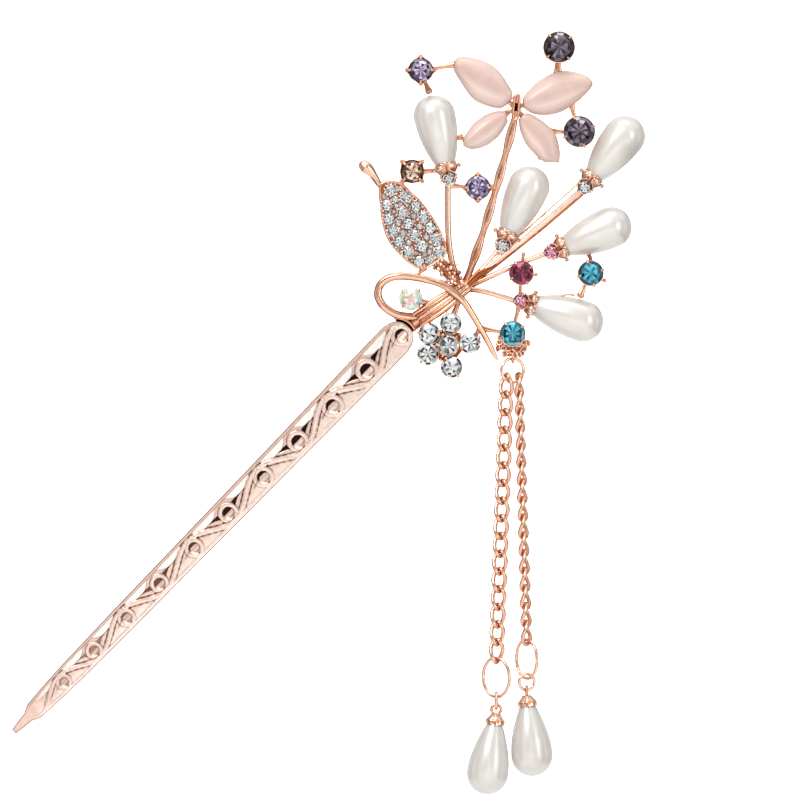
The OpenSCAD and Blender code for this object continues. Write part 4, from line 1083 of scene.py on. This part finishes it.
def leaf_beads():
    """Prong beads round the leaf's stones, where there is room, painted bright as highlights."""
    stones = [leaf_spot(*row) for row in leaf_stones()]
    crowd = [(p, LEAF_D / 2 + 0.05) for p in stones] + [(leaf_spot(a, b), r) for a, b, r in FILL]
    beads = []
    for q in [p + polar(30 * k + 24, LEAF_D / 2 + 0.16) for p in stones for k in range(12)]:
        free = min(np.linalg.norm(q - s) - r for s, r in crowd) > 0.02
        if free and all(np.linalg.norm(q - b) > 0.5 for b in beads):
            beads.append(q)
            metal.bead(lift(q, LEAF_SURFACE + 0.1), 0.22, 1.2, tone=-0.95)


def grains():
    """Small grains of solder crowd the leaf's foot."""
    grain = np.random.default_rng(11)
    for _ in range(54):
        p = mix(leaf_spot(-0.2, -0.8), HUB, grain.uniform(0, 0.9)) + grain.normal(0, 0.9, 2)
        place = lift(p, 0.5 + grain.uniform(0, 0.5))
        metal.bead(place, grain.uniform(0.34, 0.6), tone=grain.choice([-0.9, -0.5, 0.0, 0.35]))


def flower():
    # The plate behind the stones is painted dark as shade.
    metal.plate([mix(FLOWER, p, 0.9) for p in PETAL], -0.4, 0.4, tone=0.5)
    for p, turn in zip([FLOWER] + PETAL, [45] + [a + 25 for a in PETALS]):
        setting(p, FLOWER_D + 0.2, turn, claws=False, rim=0.5)
        for m in range(2):
            claw(p, FLOWER_D, turn + 180 * m, reach=0.84, width=0.22)
    for k, a in enumerate(PETALS):
        gap = (a - PETALS[(k + 1) % 5]) % 360
        if gap < 80:
            metal.bead(lift(FLOWER + polar(a - gap / 2, FLOWER_RING * 0.52), 1.9), 0.42, tone=-0.3)
            metal.bead(lift(FLOWER + polar(a - gap / 2, FLOWER_RING * 0.7), 0.55), 0.45, tone=-0.2)
    tie(PETAL[0], mix(PETAL[0], HUB, 1.09), 1.68)
    tie(PETAL[4], mix(STICK_TOP, HUB, 0.36), 1.68)
    tie(PETAL[1], ribbon_spot(16))


# How far the corners of a cup are drawn out, and the width of its prongs
CORNERS = {"violet_stone_1": (0.28, 0.28), "violet_stone_2": (0.28, 0.28), "brown_stone": (0.4, 0.26)}


def settings():
    for name, (_, _, turn, _, d, _) in STONES.items():
        setting(spot(name), d, turn, *CORNERS.get(name, ()))
    setting(AURORA, AURORA_D, 45, width=0.24)


def strap(path, across, half, thick, tone):
    """A flat band along a path, as wide as half on either side, with rounded edges."""
    sides = 14
    v = sweep(path, across, np.cross(heading(path), across), half, thick, sides)
    shade = tone[:, None] + 0.3 * (np.abs(np.cos(circle(sides))) > 0.8)
    metal.add(v, skin(len(path), sides), shade.ravel())


# The buds' caps: reach, height and half width along a petal, and the painted light and shade along it
PETAL_ROWS = [(0.6, -1.1, 0.4), (1.25, -0.5, 0.72), (1.8, 0.15, 0.98), (2.2, 0.7, 1.1), (2.5, 1.0, 1.05),
              (2.66, 1.04, 0.95)]
PETAL_TONES = [0, 0.35, 0.6, 0.8, 1], [0.4, 0.1, -0.4, -0.7, -0.6]
ROLL, ROLL_Z, ROLL_R = 2.6, 0.78, 0.46
ROLL_SWELL = np.array([0.6, 0.8, 0.95, 1, 1, 1, 0.95, 0.8, 0.6])


# Half turn, distance, height, radius, sides, depth and tone of the arch and of the dark line of painted shade
# inside it
BUD_ARCHES = ((75, 0.5, 0.1, 0.2, 10, 1.4, -0.6), (70, 0.26, 0.05, 0.11, 6, 1, 0.9))


def bud_petal(base, turn, a):
    """A petal that curls out and back, with its rolled tip; painted shade at its base and edges turns to
    painted highlights toward the tip and on the roll.
    """
    rows = smooth_path(PETAL_ROWS, 20)
    out, across = turn @ lift((math.cos(a), math.sin(a))), turn @ lift((-math.sin(a), math.cos(a)))
    line = rows[:, :1] * out + rows[:, 1:2] * turn[:, 2] + base
    strap(line, across, rows[:, 2], 0.24, np.interp(np.linspace(0, 1, 20), *PETAL_TONES))
    roll = ROLL * out + ROLL_Z * turn[:, 2] + base
    ends = [roll + 0.72 * s * across - 0.22 * abs(s) * out for s in (-1, 0, 1)]
    metal.tube(smooth_path(ends, 9), ROLL_R * ROLL_SWELL, sides=12, tone=-0.65, edge=0.25)


def bud_cap(i):
    """A cup with six petals, the small stone's own cup, and an arch over it with a dark line of painted shade
    inside; the cup is painted pale on its rim and dark inside, as highlight and shade.
    """
    prof = [(0.05, -1.3), (0.45, -1.26), (0.8, -0.9), (1.22, -0.45), (1.62, 0.05), (1.98, 0.6), (2.14, 1.1),
            (2.2, 1.5), (2.12, 1.62), (2.02, 1.5), (1.9, 1.1), (1.6, 0.6), (0.05, 0.55)]
    tone = [0.3, 0.3, 0.2, 0.45, 0.6, 0.45, 0.1, -0.5, -0.6, 0.2, 0.8, 1, 1]
    turn, base, way, p = bud_turn(i), lift(bud_base(i)), BUDS[i][2], bud_stone_spot(i)
    metal.lathe(prof, base, turn, sides=72, tone=tone,
                lobes=lambda a, k: (1, 0.16 * np.cos(12 * a) * (6 < k < 10)))
    for a in circle(6):
        bud_petal(base, turn, a)
    setting(p, BUD_STONE_D, way + 90, claws=False, rim=0.7)
    for s in (-1, 1):
        claw(p, BUD_STONE_D, way + 90 * s, reach=0.86)
    for half, off, z, r, sides, deep, tone in BUD_ARCHES:
        bow = [p + polar(way + a, BUD_STONE_D / 2 + off) for a in np.linspace(-half, half, 24)]
        bar(bow, girdle(BUD_STONE_D) + z, r, sides=sides, deep=deep, tone=tone)


# Half of the slit round the butterfly's body, up along it and across it
SLIT = [(2.5, 0), (2.1, 0.42), (1, 0.52), (0, 0.5), (-1, 0.52), (-2.1, 0.42)]


def butterfly():
    """Trays behind the wings with a thin edge, and a slit body, the slit painted dark as shade on the middle
    of the body.
    """
    for name in WINGS:
        upper, lower = wing_sides(name, 40, 0.06)
        rim = np.vstack([upper, lower[::-1], upper[:1]])
        metal.plate(rim[:-1], -0.1, WING_LEVEL - 0.04, tone=0.1, slot=1, bevel=0.05)
        bar(rim, WING_LEVEL - 0.12, 0.16, sides=8, deep=1.3, tone=-0.3, round_ends=False)
    loop = SLIT + [(-h, -w) for h, w in SLIT] + SLIT[:1]
    loop = [BUTTERFLY + polar(BUTTERFLY_LEAN, h) + polar(BUTTERFLY_LEAN - 90, w) for h, w in loop]
    bar(smooth_path(loop, 70), 1.0, 0.3, sides=12, deep=1.5, tone=-0.2, round_ends=False)
    body = [BUTTERFLY + polar(BUTTERFLY_LEAN, h) for h in (-2.3, -1.0, -0.8, 0.0, 0.8, 1.0, 2.3)]
    bar(smooth_path(body, 40), 0.75, 0.42, sides=12,
        ring_tone=lambda t: np.where(np.abs(t - 0.48) < 0.16, 0.95, -0.2))
    for angle in (144, 20, 211, -54):
        tie(BUTTERFLY, BUTTERFLY + polar(angle, 3.0), 1.5)


def wing_place(name, u, c):
    upper, lower = wing_sides(name, 41)
    k = int(round(u * 40))
    return mix(upper[k], lower[k], c)


def bud_axis(i, reach):
    return bud_base(i) + polar(BUDS[i][2], reach)


def pearl_side(i, share, sign, off):
    return (bud_axis(i, CAP_FLOOR + AIR + share * PEARL_LEN)
            + polar(BUDS[i][2] + 90 * sign, pearl_radius(share * PEARL_LEN) + off))


def ties():
    """The short bars that join neighbours."""
    tie(spot("violet_stone_1"), wing_place("wing_upper_left", 0.92, 0.35))
    tie(spot("dark_stone_1"), wing_place("wing_upper_right", 0.52, 0.1), 1.9)
    tie(spot("dark_stone_2"), wing_place("wing_upper_right", 0.62, 0.9))
    tie(spot("dark_stone_2"), wing_place("wing_lower_right", 0.5, 0.1))
    tie(spot("brown_stone"), bud_axis(0, 0.35), 1.56)
    tie(spot("brown_stone"), leaf_spot(6.7, -0.6))
    tie(spot("violet_stone_2"), bud_axis(0, -2.8))
    tie(spot("violet_stone_2"), mix(HUB, BUTTERFLY, 0.56))
    tie(spot("magenta_stone"), bud_stone_spot(3))
    tie(bud_stone_spot(3), BLUE_2)
    tie(BLUE_2, ribbon_spot(16))
    tie(AURORA, mix(STICK_TOP, HUB, 0.55), 1.8)
    tie(spot("violet_stone_1"), bud_axis(0, CAP_FLOOR + AIR + PEARL_LEN + 0.9), tone=0.15)
    tie(spot("blue_stone_1"), pearl_side(3, 0.58, 1, 0.8))
    tie(wing_place("wing_lower_left", 0.93, 0.5), pearl_side(0, 0.35, -1, 0.8))


def wires():
    """The stay behind a pearl, the wire along another, long prongs, a wing's nub and the hub's web."""
    depth = -pearl_radius(PEARL_LEN * 0.2) - 0.75
    stay = smooth_path([lift(bud_base(2)), lift(bud_axis(2, CAP_FLOOR), depth),
                        lift(pearl_side(2, 0.3, -1, 0.1), depth + 0.3), lift(spot("blue_stone_1"))], 30)
    metal.tube(stay, 0.42, tone=0.1)
    line = [pearl_side(3, k, 1, 0.28 + 0.3 * (k > 0.4)) for k in np.linspace(0.06, 0.56, 24)[::4]]
    metal.tube(smooth_path(raised(line, 0.3), 24), 0.2, sides=8, tone=-0.3)
    for name, end, r in (("blue_stone_1", px(604, 281), 0.42), ("magenta_stone", px(523, 254), 0.38),
                         ("magenta_stone", px(536, 275), 0.34)):
        line = [lift(mix(spot(name), end, share), z) for share, z in ((0.6, 1.6), (0.86, 2.2), (1, 2.1))]
        metal.tube(line, [0.3, 0.32, r], sides=10, tone=0.1)
    metal.tube([lift(px(540, 153), 0.5), lift(px(540, 158.5), 0.6)], 0.5, sides=12, tone=-0.4)
    # The hub's web is painted darker as shade between the stems.
    bar([HUB, px(478, 274), px(497, 265)], 0.35, [0.5, 0.72, 0.25], sides=16, deep=0.4, tone=0.45)


# Share of the way down, half width and count of the collar's rows of rings
FRILLS = [(0.22, 2.4, 6), (0.5, 2.9, 7), (0.78, 2.7, 6), (1.04, 1.9, 5)]


def collar():
    """The ruffled collar and the eye under the second blue stone; the beads under the rings and the frill
    behind them are painted darker as shade.
    """
    lug = EYE + np.array([0, EYE_R])
    tie(BLUE_2, lug, 1.68)
    way = lug - BLUE_2
    loose = np.random.default_rng(23)
    for row, (share, half, count) in enumerate(FRILLS):
        for k in range(count):
            q = 2 * (k + 0.5 * (row % 2)) / (count - 0.5) - 1
            high = 0.75 * math.sqrt(max(1 - q * q, 0.05)) + 0.15 * ((k + row) % 2)
            middle = BLUE_2 + way * share + np.array([half * q, 0.3 * abs(q) ** 3])
            place = lift(middle + loose.normal(0, 0.12, 2), high)
            turn = rot("y", 30 * q + loose.normal(0, 14)) @ rot("x", loose.normal(-12, 12))
            metal.ring(place, turn, 0.5, 0.44, long=20, sides=10, tone=-0.2 - 0.4 * (k % 2))
            metal.bead(lift(place, place[2] - 0.1), 0.36, tone=0.3)
    t = np.linspace(-1, 1, 40)
    frill = [BLUE_2 + way * 0.64 + np.array([2.9 * q, 0.4 * abs(q) ** 3]) for q in t]
    bar(frill, 0, 0.95 - 0.5 * t ** 2, deep=0.5, tone=0.3)
    metal.ring(lift(EYE), rot("y", 90), EYE_R, EYE_WIRE, long=40)


for part in (ribs, stick_socket, stems, blade, butterfly_stem, ribbon, leaf, grains, flower, settings):
    part()
for i in range(5):
    bud_cap(i)
for part in (butterfly, ties, wires, collar):
    part()
metal.piece("head_frame", "hairpin", ["head_frame"], [GOLD, BACK_GOLD], "rose_gold", sharp=45)

# Stage, light and camera, in metres
CENTRE = Vector((0.030, 0.0, 0.0178))
LENS, SENSOR, VIEW_WIDTH = 150, 36, 0.16
STRIPS = 8


def axes(tree, space):
    return node(tree, "SeparateXYZ", Vector=node(tree, "TexCoord").outputs[space]).outputs


def camera_ray(tree):
    return node(tree, "LightPath").outputs["Is Camera Ray"]


def paper():
    """Paper whose far part glows; the camera sees all of it as white as the photo's ground."""
    mat, tree, bsdf = material("paper")
    far = spread(tree, axes(tree, "Object")["Y"], 0.12, 1.0, 0.45, 0.78)
    cloud = ramp(tree, noise(tree, 6.0, 2.0), (0.3, grey(232)), (0.7, grey(236)))
    plug(tree, bsdf, Base_Color=cloud, Roughness=0.9, Emission_Color=(1, 1, 1, 1),
         Emission_Strength=calc(tree, "MAXIMUM", far, camera_ray(tree)))
    return mat


def backdrop():
    """A pale floor that curves up into a wall behind the hairpin."""
    low, back, bend, wide = -0.2, 1.05, 0.25, 0.62
    prof = [(-1.4, low), (back - bend, low)]
    for a in np.radians(np.linspace(8, 90, 12)):
        prof.append((back - bend + bend * math.sin(a), low + bend - bend * math.cos(a)))
    prof.append((back, 0.7))
    v = [(x, y, z) for y, z in prof for x in (CENTRE.x - wide / 2, CENTRE.x + wide / 2)]
    mesh = bpy.data.meshes.new("floor")
    mesh.from_pydata(v, [], grid(len(prof), 2))
    mesh.shade_smooth()
    mesh.materials.append(paper())
    put("floor", mesh)


def softbox(name, place, wide, high, power):
    light = bpy.data.lights.new(name, "AREA")
    light.shape, light.size, light.size_y, light.energy = "RECTANGLE", wide, high, power
    ob = put(name, light)
    ob.location = place
    ob.rotation_euler = (CENTRE - Vector(place)).to_track_quat("-Z", "Y").to_euler()


def studio():
    """Upright strips of light with gaps, a bright ceiling and a dim ground; all white to the camera."""
    world = bpy.data.worlds.new("studio")
    bpy.context.scene.world = world
    world.use_nodes = True
    tree = world.node_tree
    tree.nodes.clear()
    x, y, z = axes(tree, "Generated")
    strips = calc(tree, "COSINE", calc(tree, "MULTIPLY", calc(tree, "ARCTAN2", y, x), STRIPS))
    walls = ramp(tree, spread(tree, strips, 0.0, 1.0, -1.0, 1.0),
                 (0.0, (92, 76, 68)), (0.14, (108, 92, 84)), (0.5, (228, 226, 224)), (1.0, grey(250)))
    height = spread(tree, z, 0.0, 1.0, -1.0, 1.0)
    ceiling = ramp(tree, height, (0.0, (120, 108, 102)), (0.5, (120, 108, 102)), (0.72, (110, 104, 102)),
                   (0.82, grey(250)), (1.0, grey(235)))
    in_wall = ramp(tree, height, (0.22, grey(0)), (0.36, grey(255)), (0.62, grey(255)), (0.76, grey(0)))
    light = blend(tree, in_wall, ceiling, walls)
    sky = node(tree, "Background", Color=blend(tree, camera_ray(tree), light, (1, 1, 1, 1)), Strength=1.04)
    node(tree, "OutputWorld", Surface=sky.outputs[0])


def eye():
    camera = bpy.data.cameras.new("camera")
    camera.lens, camera.sensor_width = LENS, SENSOR
    camera.clip_start, camera.clip_end = 0.01, 10
    ob = put("camera", camera)
    ob.location = CENTRE + Vector((0, -VIEW_WIDTH * LENS / SENSOR, 0))
    ob.rotation_euler = (math.radians(90), 0, 0)
    bpy.context.scene.camera = ob


backdrop()
softbox("key", (-0.35, -0.75, 0.65), 0.4, 0.4, 4.4)
softbox("fill", (0.6, -0.7, 0.15), 0.3, 0.6, 1.3)
softbox("top", (0.05, -0.15, 0.75), 0.5, 0.25, 1.2)
softbox("low", (0.0, -0.7, -0.1), 0.8, 0.08, 0.35)
studio()
eye()
bpy.context.scene.view_settings.view_transform = "Standard"
